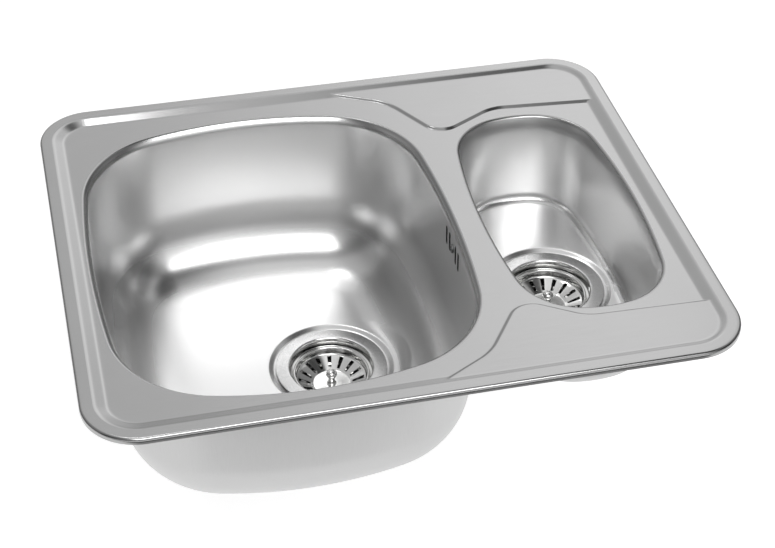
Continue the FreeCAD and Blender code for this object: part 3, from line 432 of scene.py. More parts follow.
# %% Deck mesh
bowl_rings = [bowl["oval"].ring() for bowl in (MAIN, HALF)]
loops = [rim_points - rim_outward * BAND_INSETS[0]]
loops += [points + outward * FLANGE for points, outward in bowl_rings]
rings = np.concatenate([rim_points - rim_outward * inset for inset in BAND_INSETS[1:]])
rings = rings[from_lines(rings) > LINE_ZONE]
edges, count = [], 0
for loop in loops:
    index = np.arange(len(loop))
    edges.append(np.stack([index, (index + 1) % len(loop)], axis=1) + count)
    count += len(loop)
cloud = np.concatenate(loops + [rings, beside, wide, fine])
MERGE = 1e-4
edges = np.concatenate(edges).tolist()
cut = delaunay_2d_cdt([Vector(point) for point in cloud], edges, [], 0, MERGE)
flat = np.array([tuple(point) for point in cut[0]])
triangles = np.array([face for face in cut[2] if len(face) == 3])
middles = flat[triangles].mean(axis=1)
triangles = triangles[(rim_inset(middles) > BAND_INSETS[0]) & in_no_bowl(middles, -0.001)]
corners = flat[triangles]
first, second = corners[:, 1] - corners[:, 0], corners[:, 2] - corners[:, 0]
turned = first[:, 0] * second[:, 1] - first[:, 1] * second[:, 0] < 0
triangles[turned] = triangles[turned][:, ::-1]
inside = np.column_stack([flat, deck_height(flat)])

arc = np.linspace(0, math.pi / 2, 9)
flat_insets = [5.0, 8.5, BAND_INSETS[0]]
edge_inset = np.concatenate([[0.0, 0.0], EDGE_ROUND * (1 - np.cos(arc)), flat_insets])
edge_height = np.concatenate([[0.0, 1.7], RIM_TOP - EDGE_ROUND * (1 - np.sin(arc)),
                              [RIM_TOP] * len(flat_insets)])
rows = rim_points[None] - rim_outward[None] * edge_inset[:, None, None]
heights = np.broadcast_to(edge_height[:, None, None], rows.shape[:2] + (1,))
rim = np.concatenate([rows, heights], axis=-1).reshape(-1, 3)
rim_faces = grid_faces(len(edge_inset), len(rim_points))
faces = rim_faces.tolist() + (triangles + len(rim)).tolist()
deck = piece("pressed_deck", np.concatenate([rim, inside]), faces, "sink_body", "brushed_steel",
             ("deck",))
walled(tidy_mesh(deck, gap=0.01), SKIN)
print("deck", len(deck.data.polygons), "faces")

# %% [markdown]
# ## The drawn bowls
# Deep drawing leaves a rolled lip, a wall that leans a little below the lip and is nearly upright
# further down, and a large soft turn into the floor, with a shallow round recess that takes the
# strainer. Beside the recess the turn gives way, so the recess stays a full ring. Rows follow the
# outline inward down the wall, then change evenly into circles about the drain, so the mesh lines
# run with the shape everywhere and reflections stay smooth.

# %% Height of a bowl's floor
def floor_height(bowl, points):
    """Height over the floor: the lower of the recess's cones and the wall's rounding.

    The rounding is its radius less the root of the radius squared less the way into it squared.
    Beside the recess it fades by the smooth step 3 s^2 - 2 s^3.
    """
    draft = math.radians(bowl["draft"])
    radius = bowl["round"]
    wall_end = bowl["lip"] + math.tan(draft) * (DECK - bowl["floor"] - radius)
    centre_inset = wall_end + radius / math.cos(draft)
    into = np.clip(centre_inset - bowl["oval"].inset(points), 0, radius)
    rounding = radius - np.sqrt(radius ** 2 - into ** 2)
    out = norm(points - np.array(bowl["drain"]), axis=-1) - RECESS["radius"]
    beside = np.clip(out / bowl["ease"], 0, 1)
    rounding = rounding * beside ** 2 * (3 - 2 * beside)
    cone = out * RECESS["depth"] / RECESS["slope"]
    dish = soft_most(np.full(out.shape, -RECESS["depth"]), cone, RECESS["foot"])
    dish = soft_most(dish, out, RECESS["brim"])
    return soft_least(rounding, dish, RECESS["brim"])


LIP_ROWS, LEAN_ROWS, WALL_ROWS = 10, 9, 12


def wall_rows(bowl):
    """Inset and height of the rows over the rolled lip and down the wall.

    The lean adds a gap times the square of the share of it that is still below.
    """
    slope = math.tan(math.radians(bowl["draft"]))
    lean = slope + 2 * (bowl["lip"] - LIP_END) / bowl["lean"]
    turn = np.linspace(0, math.pi / 2 - math.atan(lean), LIP_ROWS)
    insets = list(-FLANGE + LIP_ROUND * np.sin(turn))
    heights = list(DECK - LIP_ROUND * (1 - np.cos(turn)))
    top = heights[-1]
    gap = bowl["lip"] + slope * (DECK - top) - insets[-1]
    upper = np.linspace(top, top - bowl["lean"], LEAN_ROWS)
    lower = np.linspace(top - bowl["lean"], bowl["floor"] + bowl["round"], WALL_ROWS)
    for height in np.concatenate([upper[1:], lower[1:]]):
        share = min((top - height) / bowl["lean"], 1)
        insets.append(bowl["lip"] + slope * (DECK - height) - gap * (1 - share) ** 2)
        heights.append(height)
    return np.array(insets), np.array(heights)


ROUND_ROWS, CHANGE_ROWS, HOLE_ROWS = 22, 31, 6
RECESS_STEP, RECESS_END = 0.7, 56.0


def bowl_skin(bowl):
    """Bowl as rows of rings: lip and wall, upper rounding, the change to circles, and recess."""
    base, outward = bowl["oval"].ring()
    insets, heights = wall_rows(bowl)
    rows = [np.column_stack([base - outward * inset, np.full(len(base), height)])
            for inset, height in zip(insets, heights)]
    draft = math.radians(bowl["draft"])
    radius = bowl["round"]
    centre_inset = insets[-1] + radius * math.cos(draft)
    last = math.acos(min((centre_inset - bowl["turn_in"]) / radius, 1))
    for angle in np.linspace(draft, last, ROUND_ROWS)[1:]:
        inset = centre_inset - radius * math.cos(angle)
        height = bowl["floor"] + radius * (1 - math.sin(angle))
        rows.append(np.column_stack([base - outward * inset, np.full(len(base), height)]))
    ring = base - outward * bowl["turn_in"]
    drain = np.array(bowl["drain"])
    spread = ring - drain
    direction = spread / norm(spread, axis=1)[:, None]
    circle = drain + direction * bowl["circle"]
    flat_rows = [ring + (circle - ring) * share for share in np.linspace(0, 1, CHANGE_ROWS)[1:]]
    radii = np.concatenate([np.arange(bowl["circle"] - RECESS_STEP, RECESS_END, -RECESS_STEP),
                            np.linspace(RECESS_END, DRAIN_HOLE, HOLE_ROWS)])
    flat_rows += [drain + direction * reach for reach in radii]
    for points in flat_rows:
        rows.append(np.column_stack([points, bowl["floor"] + floor_height(bowl, points)]))
    return np.array(rows)


# %% Bowl pieces
# Each bowl has three material slots, which get their finishes further down.
INSIDE, OUTSIDE, CUT_EDGE = 0, 1, 2
bowls = {}
for bowl in (MAIN, HALF):
    name = bowl["name"]
    skin = bowl_skin(bowl)
    faces = grid_faces(*skin.shape[:2]).tolist()
    thing = piece(f"{name}_drawn_bowl", skin, faces, "sink_body", "brushed_steel",
                  (f"{name}_bowl",))
    for _ in (INSIDE, OUTSIDE, CUT_EDGE):
        thing.data.materials.append(None)
    bowls[name] = walled(thing, SKIN)
    thing.modifiers["wall"].material_offset = OUTSIDE - INSIDE
    print(name, "bowl", skin.shape[:2], "lowest", round(skin[..., 2].min(), 2))

# %% [markdown]
# ## The strainers
# A basket strainer is spun and pressed from thin sheet and polished, so it mirrors the room in
# narrow rings. Each part is a profile turned about the drain's axis. The basket's slots are
# wedges left open in its grid: columns lie exactly on the slots' edges, and the faces between
# them are dropped before the sheet gets its thickness. The cups have a second material slot for
# their turned flange.

# %% Turned profiles
def turned(profile, columns=128):
    """Rows of points from a profile of radius and height, turned about the Z axis."""
    profile = np.asarray(profile, float)
    angle = 2 * math.pi * np.arange(columns) / columns
    radius, height = profile[:, 0][:, None], profile[:, 1][:, None]
    return np.stack([radius * np.cos(angle), radius * np.sin(angle),
                     np.broadcast_to(height, (len(profile), columns))], axis=-1)


def bend(centre, radius, first, last, steps=8):
    """Points of an arc in a profile, by angles in degrees."""
    angle = np.radians(np.linspace(first, last, steps))
    return radius * np.column_stack([np.cos(angle), np.sin(angle)]) + centre


def turned_piece(name, profile, place, body, slot, replaced=(), columns=128, closed=True):
    """Piece turned from a profile, moved to its place. A closed profile meets itself in a ring."""
    grid = turned(profile, columns)
    if closed:
        grid = np.concatenate([grid, grid[:1]])
    faces = grid_faces(*grid.shape[:2]).tolist()
    thing = piece(name, grid + np.asarray(place), faces, body, slot, replaced)
    return tidy_mesh(thing, outward=True)


# %% Strainer cups
# Profiles hold radii from the drain's axis and heights over the bowl's floor.
MOUTH, MOUTH_ROUND = 42.5, 2.2
FLANGE_OUT, FLANGE_LOW = 57.0, -1.6
CUP_SKIN = 0.9
SEAT = (37.5, -11.4)
CUP_LOW = -31.0
SPOKES, BAR_REACH, BAR_HALF = 3, (5.5, 21.6), 2.0
BOX_FACES = [(0, 1, 3, 2), (4, 6, 7, 5), (0, 4, 5, 1), (2, 3, 7, 6), (1, 5, 7, 3), (0, 2, 6, 4)]
HUB_BORE, HUB_RIM = 3.5, 7.0


def cup_profile():
    """Flange and its crowned top, the rounded mouth, the seat and the cup, then back below."""
    crown = np.column_stack([np.linspace(56.2, MOUTH + MOUTH_ROUND, 8),
                             -0.75 + 0.75 * np.sin(np.linspace(0.05, math.pi / 2, 8))])
    return np.concatenate([
        [(56.6, FLANGE_LOW)], bend((FLANGE_OUT - 0.4, FLANGE_LOW + 0.4), 0.4, -60, 60, 5),
        crown,
        bend((MOUTH + MOUTH_ROUND, -MOUTH_ROUND), MOUTH_ROUND, 90, 180, 10),
        [(MOUTH, -6.0)], bend((MOUTH - 0.9, -9.6), 0.9, 0, -80, 5),
        [(39.5, -11.0)], bend((SEAT[0] + 0.9, SEAT[1] - 0.7), 0.9, 80, 180, 6),
        [(SEAT[0], -20.0)], bend((SEAT[0] - 1.6, CUP_LOW + CUP_SKIN + 1.6), 1.6, 0, -90, 5),
        [(21.0, CUP_LOW + CUP_SKIN), (21.0, CUP_LOW)],
        bend((SEAT[0] - 1.6, CUP_LOW + 2.5), 2.5, -90, 0, 6),
        [(SEAT[0] + CUP_SKIN, -13.2), (MOUTH + CUP_SKIN, -11.6), (MOUTH + CUP_SKIN, FLANGE_LOW)],
    ])


def spoked_floor(place):
    """Points and faces of the bars from the hub to the wall across the cup's floor."""
    points, faces = [], []
    levels = (CUP_LOW, CUP_LOW + CUP_SKIN)
    bar = np.array([(x, y, z) for x in BAR_REACH for y in (-BAR_HALF, BAR_HALF) for z in levels])
    for step in range(SPOKES):
        angle = 2 * math.pi * step / SPOKES
        c, s = math.cos(angle), math.sin(angle)
        points.append(bar @ np.array([[c, -s, 0], [s, c, 0], [0, 0, 1]]).T + place)
        faces += [[corner + len(bar) * step for corner in face] for face in BOX_FACES]
    return np.concatenate(points), faces


cups = []
for bowl in (MAIN, HALF):
    name = bowl["name"]
    place = np.array([*bowl["drain"], bowl["floor"]])
    grid = turned(cup_profile(), 160)
    grid = np.concatenate([grid, grid[:1]]) + place
    faces = grid_faces(*grid.shape[:2]).tolist()
    bars, bar_faces = spoked_floor(place)
    hub = turned([(HUB_BORE, CUP_LOW), (HUB_RIM, CUP_LOW), (HUB_RIM, CUP_LOW + CUP_SKIN),
                  (HUB_BORE, CUP_LOW + CUP_SKIN), (HUB_BORE, CUP_LOW)], 48) + place
    first, second = grid.size // 3, grid.size // 3 + len(bars)
    faces += [[corner + first for corner in face] for face in bar_faces]
    faces += (grid_faces(*hub.shape[:2]) + second).tolist()
    points = np.concatenate([grid.reshape(-1, 3), bars, hub.reshape(-1, 3)])
    cup = piece(f"{name}_polished_cup", points, faces, "sink_body", "polished_steel",
                (f"{name}_strainer_cup",))
    tidy_mesh(cup, outward=True)
    middles = np.empty(3 * len(cup.data.polygons))
    cup.data.polygons.foreach_get("center", middles)
    reach = norm(middles.reshape(-1, 3)[:, :2] / MM - place[:2], axis=1)
    on_flange = reach > MOUTH + MOUTH_ROUND / 2
    cup.data.polygons.foreach_set("material_index", on_flange.astype(np.int32))
    cups.append(cup)
    print(name, "cup", len(cup.data.polygons), "faces")

# %% Strainer baskets
# The slots take a third of their ring, between two radii.
SLOTS, SLOT_SHARE, SLOT_TURN = 16, 0.34, math.radians(14.6)
SLOT_REACH = (21.0, 34.01)
BASKET_SKIN = 0.8
BEAD_PLACE, BEAD_RADIUS = (38.0, -9.5), 1.4


def basket_profile():
    """Inner side of the basket from under the bead down to the slotted cone and the flat base."""
    return np.concatenate([
        [(36.8, -9.5), (36.4, -12.0)], bend((34.4, -14.8), 2.0, 0, -62, 6),
        np.column_stack([np.linspace(34.0, 19.6, 8), np.linspace(-16.98, -23.73, 8)]),
        bend((18.4, -21.2), 2.8, -65, -90, 4),
        [(12.0, -24.0), (6.0, -24.0), (2.6, -24.0)],
    ])


def basket_grid():
    """Grid of the basket with columns on the slots' edges, and a mask of the slots' faces."""
    profile = basket_profile()
    pitch = 2 * math.pi / SLOTS
    shares = np.array([-1, -0.8, 0.8, 1.0])
    bars = np.linspace(0, 1, 9)[1:-1]
    columns = len(shares) + len(bars)
    angle = np.empty((len(profile), SLOTS, columns))
    half = pitch * SLOT_SHARE / 2
    middle = (np.arange(SLOTS) * pitch + SLOT_TURN)[None, :, None]
    angle[..., :len(shares)] = middle + half * shares
    angle[..., len(shares):] = middle + half + (pitch - 2 * half) * bars
    angle = angle.reshape(len(profile), -1)
    radius = np.broadcast_to(profile[:, 0][:, None], angle.shape)
    height = np.broadcast_to(profile[:, 1][:, None], angle.shape)
    points = np.stack([radius * np.cos(angle), radius * np.sin(angle), height], axis=-1)
    in_slot_row = (profile[:-1, 0] < SLOT_REACH[1]) & (profile[1:, 0] > SLOT_REACH[0])
    column = np.arange(SLOTS * columns) % columns
    cut_column = column < len(shares) - 1
    return points, (in_slot_row[:, None] & cut_column[None, :]).reshape(-1)


for bowl in (MAIN, HALF):
    name = bowl["name"]
    body = f"{name}_strainer_basket"
    place = np.array([*bowl["drain"], bowl["floor"]])
    points, taken = basket_grid()
    faces = grid_faces(*points.shape[:2])[~taken].tolist()
    dish = piece(f"{name}_slotted_basket", points + place, faces, body, "polished_steel",
                 (f"{name}_basket",))
    walled(dish, BASKET_SKIN)
    ring = bend(BEAD_PLACE, BEAD_RADIUS, 0, 360, 17)[:-1]
    bead = turned_piece(f"{name}_basket_bead", ring, place, body, "polished_steel")
    print(name, "basket", len(dish.data.polygons), "faces, bead", len(bead.data.polygons))

# %% Stems and knobs
def stem_profile():
    """Riveted foot, slim stem and flattened knob."""
    dome = np.radians(np.linspace(-48, 86, 20))
    return np.concatenate([
        [(0.01, -26.2), (2.6, -26.2), (2.6, -24.0), (5.0, -24.0)],
        bend((4.6, -23.6), 0.4, 0, 80, 4),
        [(3.6, -22.8), (3.4, -22.0), (3.4, -17.0), (3.7, -16.2)],
        np.column_stack([5.8 * np.cos(dome), 4.4 * np.sin(dome) - 11.6]), [(0.01, -7.2)],
    ])


for bowl in (MAIN, HALF):
    name = bowl["name"]
    place = (*bowl["drain"], bowl["floor"])
    stem = turned_piece(f"{name}_knobbed_stem", stem_profile(), place, f"{name}_strainer_basket",
                        "polished_steel", (f"{name}_basket_stem",), 48, closed=False)
    print(name, "stem", len(stem.data.polygons), "faces")

# %% [markdown]
# ## The overflow
# Four slanted slots and a screw pierce the large bowl's right wall. Cutting them with solid pegs
# is the simplest way to get clean edges in a sheet that already has its thickness, so the wall is
# made real first and the pegs are taken away from it. The pegs' faces carry the number of the
# bowl's third material slot, which gives the cut edges a rough finish painted dark as painted
# shade.

# %% Cut the overflow slots
OVERFLOW_ALONG, OVERFLOW_HEIGHT = -22.5, -22.3
SLOT = {"width": 5.4, "length": 20.3, "pitch": 11.1, "slant": math.radians(7)}
SCREW_HOLE = 2.6
SHARP = math.radians(35)
oval = MAIN["oval"]
wall_inset = MAIN["lip"] + math.tan(math.radians(MAIN["draft"])) * (DECK - OVERFLOW_HEIGHT)
WALL_RADIUS = oval.side - wall_inset + SKIN
OVERFLOW_BOW = math.asin((oval.centre[1] - OVERFLOW_ALONG) / WALL_RADIUS)
OVERFLOW_ACROSS = oval.centre[0] + oval.side_centre[0] + WALL_RADIUS * math.cos(OVERFLOW_BOW)
OVERFLOW_PLACE = np.array([OVERFLOW_ACROSS, OVERFLOW_ALONG, OVERFLOW_HEIGHT])


def peg(outline, reach=5.0):
    """Closed peg along X through the wall, from an outline in the YZ plane."""
    count = len(outline)
    ends = [np.column_stack([np.full(count, x), outline]) for x in (-reach, reach)]
    c, s = math.cos(OVERFLOW_BOW), math.sin(OVERFLOW_BOW)
    points = np.concatenate(ends) @ np.array([[c, s, 0], [-s, c, 0], [0, 0, 1]]).T
    faces = grid_faces(2, count)[:, ::-1].tolist()
    faces += [list(range(count)), list(range(2 * count - 1, count - 1, -1))]
    return points + OVERFLOW_PLACE, faces


def slot_outline(along):
    """Slot with round ends, leaning by the slant."""
    angle = np.linspace(0, math.pi, 13)
    radius = SLOT["width"] / 2
    half = (SLOT["length"] - SLOT["width"]) / 2
    upper = np.column_stack([radius * np.cos(angle), half + radius * np.sin(angle)])
    loop = np.concatenate([upper, -upper])
    c, s = math.cos(-SLOT["slant"]), math.sin(-SLOT["slant"])
    return loop @ np.array([[c, s], [-s, c]]) + (along, 0)


def make_real(thing):
    """Replaces an object's mesh by what its modifiers make of it."""
    graph = bpy.context.evaluated_depsgraph_get()
    shape = bpy.data.meshes.new_from_object(thing.evaluated_get(graph))
    thing.modifiers.clear()
    thing.data = shape


outlines = [slot_outline(SLOT["pitch"] * step) for step in (-2, -1, 1, 2)]
angle = np.linspace(0, 2 * math.pi, 25)[:-1]
outlines.append(SCREW_HOLE * np.column_stack([np.cos(angle), np.sin(angle)]))
points, faces, count = [], [], 0
for outline in outlines:
    corners, sides = peg(outline)
    points.append(corners)
    faces += [[corner + count for corner in side] for side in sides]
    count += len(corners)
pegs = bpy.data.objects.new("pegs", bpy.data.meshes.new("pegs"))
pegs.data.from_pydata((np.concatenate(points) * MM).tolist(), [], faces)
link(pegs)
tidy_mesh(pegs, outward=True)
for _ in (INSIDE, OUTSIDE, CUT_EDGE):
    pegs.data.materials.append(None)
marks = np.full(len(pegs.data.polygons), CUT_EDGE, dtype=np.int32)
pegs.data.polygons.foreach_set("material_index", marks)
cutter = bowls["main"].modifiers.new("overflow", "BOOLEAN")
cutter.object = pegs
cutter.solver = "EXACT"
make_real(bowls["main"])
bpy.data.objects.remove(pegs)
bowls["main"].data.shade_smooth()
bowls["main"].data.set_sharp_from_angle(angle=SHARP)
print("main bowl", len(bowls["main"].data.polygons), "faces after the slots")

# %% [markdown]
# ## Finishes
# One function turns sRGB hex values to the linear numbers that shaders want, and one adds a node
# with its settings and links. Patterns are measured in millimetres of the real surface. Grain is
# finer in reality than a picture can show, so all grain below is drawn coarser than real.

# %% Colour and node helpers
SMOOTH = {"interpolation_type": "SMOOTHSTEP"}
COLOUR = {"data_type": "RGBA"}
TIMES = {"operation": "MULTIPLY"}
TIMES_PLUS = {"operation": "MULTIPLY_ADD"}


def linear(code):
    """Linear colour from an sRGB hex value: v / 12.92 if dark, else ((v + 0.055) / 1.055)^2.4."""
    values = [int(code[i:i + 2], 16) / 255 for i in (1, 3, 5)]
    return tuple(v / 12.92 if v <= 0.04045 else ((v + 0.055) / 1.055) ** 2.4
                 for v in values) + (1.0,)


def add(tree, kind, settings=None, **inputs):
    """Adds a shader node, sets its properties, and sets or links its inputs.

    An input goes by its name, with _ for a blank, or by its number, with i before it. A node
    given as an input stands for its first output.
    """
    node = tree.nodes.new("ShaderNode" + kind)
    for key, value in (settings or {}).items():
        setattr(node, key, value)
    for key, value in inputs.items():
        numbered = key[0] == "i" and key[1:].isdigit()
        socket = node.inputs[int(key[1:]) if numbered else key.replace("_", " ")]
        if isinstance(value, bpy.types.Node):
            value = value.outputs[0]
        if isinstance(value, bpy.types.NodeSocket):
            tree.links.new(value, socket)
        else:
            socket.default_value = value
    return node


def new_material(name):
    """Material with an empty node tree, and the Object coordinates in metres."""
    material = bpy.data.materials.new(name)
    material.use_nodes = True
    tree = material.node_tree
    tree.nodes.clear()
    return material, tree, add(tree, "TexCoord").outputs["Object"]


def grains(tree, place, size_mm, detail=3.0, rough=0.5):
    """Noise whose cells are the given sizes in millimetres along X, Y and Z."""
    scale = tuple(1 / (size * MM) for size in size_mm)
    scaled = add(tree, "Mapping", Vector=place, Scale=scale)
    return add(tree, "TexNoise", Vector=scaled, Scale=1.0, Detail=detail,
               Roughness=rough).outputs["Fac"]


# %% Steel finishes
def steel(name, light, dark, roughness, spread, grain_mm, cloud_mm, bump_mm):
    """Stainless steel: fine drawn or brushed grain in roughness and bump, faint clouds in tone."""
    material, tree, place = new_material(name)
    grain = grains(tree, place, grain_mm, 4.0, 0.55)
    cloud = grains(tree, place, (cloud_mm,) * 3, 2.0, 0.5)
    less = add(tree, "Math", TIMES, i0=cloud, i1=0.3)
    both = add(tree, "Math", TIMES_PLUS, i0=grain, i1=0.7, i2=less)
    spotted = add(tree, "MapRange", Value=both, i1=0.3, i2=0.7)
    tone = add(tree, "Mix", COLOUR, Factor=spotted, A=linear(dark), B=linear(light))
    gloss = add(tree, "MapRange", Value=both, i1=0.25, i2=0.75, i3=roughness - spread,
                i4=roughness + spread)
    bump = add(tree, "Bump", Strength=1.0, Distance=bump_mm * MM, Height=grain)
    shader = add(tree, "BsdfPrincipled", Base_Color=tone.outputs["Result"], Metallic=1.0,
                 Roughness=gloss, Normal=bump)
    add(tree, "OutputMaterial", Surface=shader)
    return material


def drawn_steel_painted_light(name, brim, wall, base, roughness, grain_mm, cloud_mm, bump_mm):
    """Deep-drawn steel: brushed brim, burnished walls, and matt where it lies flat.

    Walls are painted paler than the brim and flat faces palest, as painted light.
    """
    material, tree, place = new_material(name)
    grain = grains(tree, place, grain_mm, 4.0, 0.55)
    cloud = grains(tree, place, (cloud_mm,) * 3, 2.0, 0.5)
    normal = add(tree, "NewGeometry").outputs["Normal"]
    level = add(tree, "SeparateXYZ", Vector=normal).outputs["Z"]
    flat = add(tree, "Math", {"operation": "ABSOLUTE"}, i0=level)
    height = add(tree, "SeparateXYZ", Vector=place).outputs["Z"]
    # Faces that lie flat get the paler base tone, which is painted light, and a more matt finish.
    base_matt_and_painted_light = add(tree, "MapRange", SMOOTH, Value=flat, i1=0.90, i2=0.999)
    at_brim = add(tree, "MapRange", SMOOTH, Value=height, i1=-1.5 * MM, i2=1.5 * MM)
    lower = add(tree, "Mix", COLOUR, Factor=base_matt_and_painted_light, A=linear(wall), B=linear(base))
    tone = add(tree, "Mix", COLOUR, Factor=at_brim, A=lower.outputs["Result"], B=linear(brim))
    less = add(tree, "Math", TIMES, i0=cloud, i1=0.5)
    marks = add(tree, "Math", TIMES_PLUS, i0=grain, i1=0.5, i2=less)
    cloudy = add(tree, "MapRange", Value=marks, i1=0.3, i2=0.7, i3=0.985, i4=1.015)
    shaded = add(tree, "HueSaturation", Value=cloudy, Color=tone.outputs["Result"])
    on_wall = add(tree, "MapRange", SMOOTH, Value=flat, i1=0.3, i2=0.8, i3=roughness + 0.1,
                  i4=roughness)
    matt = add(tree, "Math", TIMES_PLUS, i0=base_matt_and_painted_light, i1=0.12, i2=on_wall)
    uneven = add(tree, "MapRange", Value=marks, i1=0.3, i2=0.7, i3=0.96, i4=1.04)
    gloss = add(tree, "Math", TIMES, i0=matt, i1=uneven)
    bump = add(tree, "Bump", Strength=1.0, Distance=bump_mm * MM, Height=grain)
    shader = add(tree, "BsdfPrincipled", Base_Color=shaded, Metallic=1.0, Roughness=gloss,
                 Normal=bump)
    add(tree, "OutputMaterial", Surface=shader)
    return material


# AISI 304 sheet with a fine satin brushing. The real grain is 0.05 mm wide and 20 mm long; it is
# drawn 0.5 mm wide so that a hint of it shows.
deck_steel = steel("satin_brushed_304_steel", "#a8a8a8", "#a2a2a2", 0.18, 0.02,
                   (24.0, 0.5, 0.5), 60.0, 0.0004)
# The same sheet after deep drawing: walls burnished by the die, a matt base, and fine lines in the
# drawing way, 0.2 mm wide where real ones are thinner. Walls and base are painted paler than the
# deck as painted light, the base palest, and the small bowl's base is paler still.
DRAWN_GRAIN = (0.2, 0.2, 15.0)
bowl_steels = {
    "main": drawn_steel_painted_light("deep_drawn_304_steel", "#a7a7a7", "#d4d4d4", "#f0f0f0", 0.22,
                        DRAWN_GRAIN, 80.0, 0.0001),
    "half": drawn_steel_painted_light("drawn_304_steel", "#a7a7a7", "#d7d7d7", "#fdfdfd", 0.24,
                        DRAWN_GRAIN, 80.0, 0.0001),
}
# The bowls' undersides stay as the press leaves them: duller and a little darker.
outer_steel = steel("as_pressed_304_steel", "#bfbfbf", "#b8b8b8", 0.36, 0.03,
                    (0.4, 0.4, 15.0), 70.0, 0.0003)
# Spun and polished 304 steel of the strainers, with faint turning marks.
polished_steel = steel("polished_304_steel", "#e6e6e5", "#d4d4d3", 0.12, 0.03,
                       (0.8, 0.8, 0.3), 12.0, 0.0006)
# The strainers' flanges are only turned and brushed, so they shine less than the cups.
turned_steel = steel("turned_304_steel", "#dddddd", "#d1d1d1", 0.27, 0.03,
                     (0.6, 0.6, 0.3), 14.0, 0.0004)
# The slots' sheared edges are torn and rough; their dark tone is painted shade in the bright wall.
slot_edge_painted_shade = steel("slot_edge_304_painted_shade", "#3c3d3e", "#2c2d2e", 0.55, 0.05,
                      (0.2, 0.2, 0.6), 8.0, 0.002)
deck.data.materials.append(deck_steel)
for name, thing in bowls.items():
    thing.data.materials[INSIDE] = bowl_steels[name]
    thing.data.materials[OUTSIDE] = outer_steel
    # The cut edges get the dark steel whose tone is painted shade.
    thing.data.materials[CUT_EDGE] = slot_edge_painted_shade
for thing in polished:
    thing.data.materials.append(polished_steel)
for thing in cups:
    thing.data.materials.append(turned_steel)
print("steel finishes set")

# %% Finishes of the other pieces
def moulded(name, light, dark, roughness, texture_mm, bump_mm, metallic=0.0):
    """Moulded, plated or foamed surface: an even texture with slight clouds in tone."""
    material, tree, place = new_material(name)
    texture = grains(tree, place, (texture_mm,) * 3, 4.0, 0.6)
    cloud = grains(tree, place, (35.0,) * 3, 2.0)
    clouded = add(tree, "MapRange", Value=cloud, i1=0.35, i2=0.65)
    tone = add(tree, "Mix", COLOUR, Factor=clouded, A=linear(dark), B=linear(light))
    gloss = add(tree, "MapRange", Value=texture, i1=0.3, i2=0.7, i3=roughness - 0.06,
                i4=roughness + 0.06)
    bump = add(tree, "Bump", Strength=1.0, Distance=bump_mm * MM, Height=texture)
    shader = add(tree, "BsdfPrincipled", Base_Color=tone.outputs["Result"], Metallic=metallic,
                 Roughness=gloss, Normal=bump)
    add(tree, "OutputMaterial", Surface=shader)
    return material


FINISHES = {
    # Electroplated zinc on mild steel: slightly blue, cloudy and half bright.
    "zinc_steel": moulded("zinc_plated_steel", "#c3c7cb", "#a9adb1", 0.36, 0.9, 0.004, 1.0),
    # Turned brass insert.
    "brass": moulded("turned_brass", "#d8b56a", "#c49f55", 0.25, 0.5, 0.002, 1.0),
    # EPDM rubber with a dull moulded skin.
    "black_rubber": moulded("epdm_rubber", "#1c1c1d", "#151516", 0.62, 0.5, 0.01),
    # Closed-cell polyethylene foam of the rim seal.
    "grey_foam": moulded("closed_cell_foam", "#5d5e60", "#4b4c4e", 0.85, 1.2, 0.12),
    # Bitumen sound pad with a pressed grain.
    "dark_pad": moulded("bitumen_pad", "#303134", "#242528", 0.72, 1.6, 0.10),
    # Polypropylene of the waste and overflow, with a fine mould texture.
    "grey_plastic": moulded("moulded_polypropylene", "#c9cacb", "#bcbdbf", 0.46, 0.7, 0.015),
    "polished_steel": polished_steel,
    "brushed_steel": deck_steel,
}
OWN_FINISHES = {
    # Polypropylene of the overflow's housing, painted dark as painted shade so its slots look
    # black.
    "overflow_housing": moulded("polypropylene_painted_shade", "#1d1e1f", "#161718", 0.5, 0.7, 0.015),
    # The screw's head is dull and darker than the bowl's steel.
    "overflow_screw": moulded("dull_dark_steel", "#858686", "#7a7b7b", 0.5, 0.6, 0.003, 1.0),
}
slots = {row["node"]: row["material_slot"] for row in frame["record"]["subparts"]}
for name, thing in frame["nodes"].items():
    finish = OWN_FINISHES.get(name, FINISHES[slots[name]])
    if not thing.material_slots:
        thing.data.materials.append(finish)
    for holder in thing.material_slots:
        holder.material = finish
print("finishes on", len(frame["nodes"]), "CAD nodes")

# %% [markdown]
# ## Studio
# Bright satin steel only shows what stands around it. One broad soft light hangs high in front, a
# small one hangs behind at the left, and the sky is made of soft bands, so the steel has long
# even reflections with darker gaps between them. The floor is pale, with one dark band in front
# of the sink that the steel mirrors as a darker line.

# %% Floor and lights
FLOOR_DROP, FLOOR_HALF, FLOOR_GLOW = 0.35, 4.0, 0.46


def area_light(name, place, target, size, power):
    """Rectangular soft light at a place in metres, aimed at a target."""
    lamp = bpy.data.lights.new(name, "AREA")
    lamp.shape = "RECTANGLE"
    lamp.size, lamp.size_y = size
    lamp.energy = power
    thing = bpy.data.objects.new(name, lamp)
    aim = (Vector(target) - Vector(place)).to_track_quat("-Z", "Y")
    thing.matrix_world = Matrix.Translation(place) @ aim.to_matrix().to_4x4()
    link(thing)


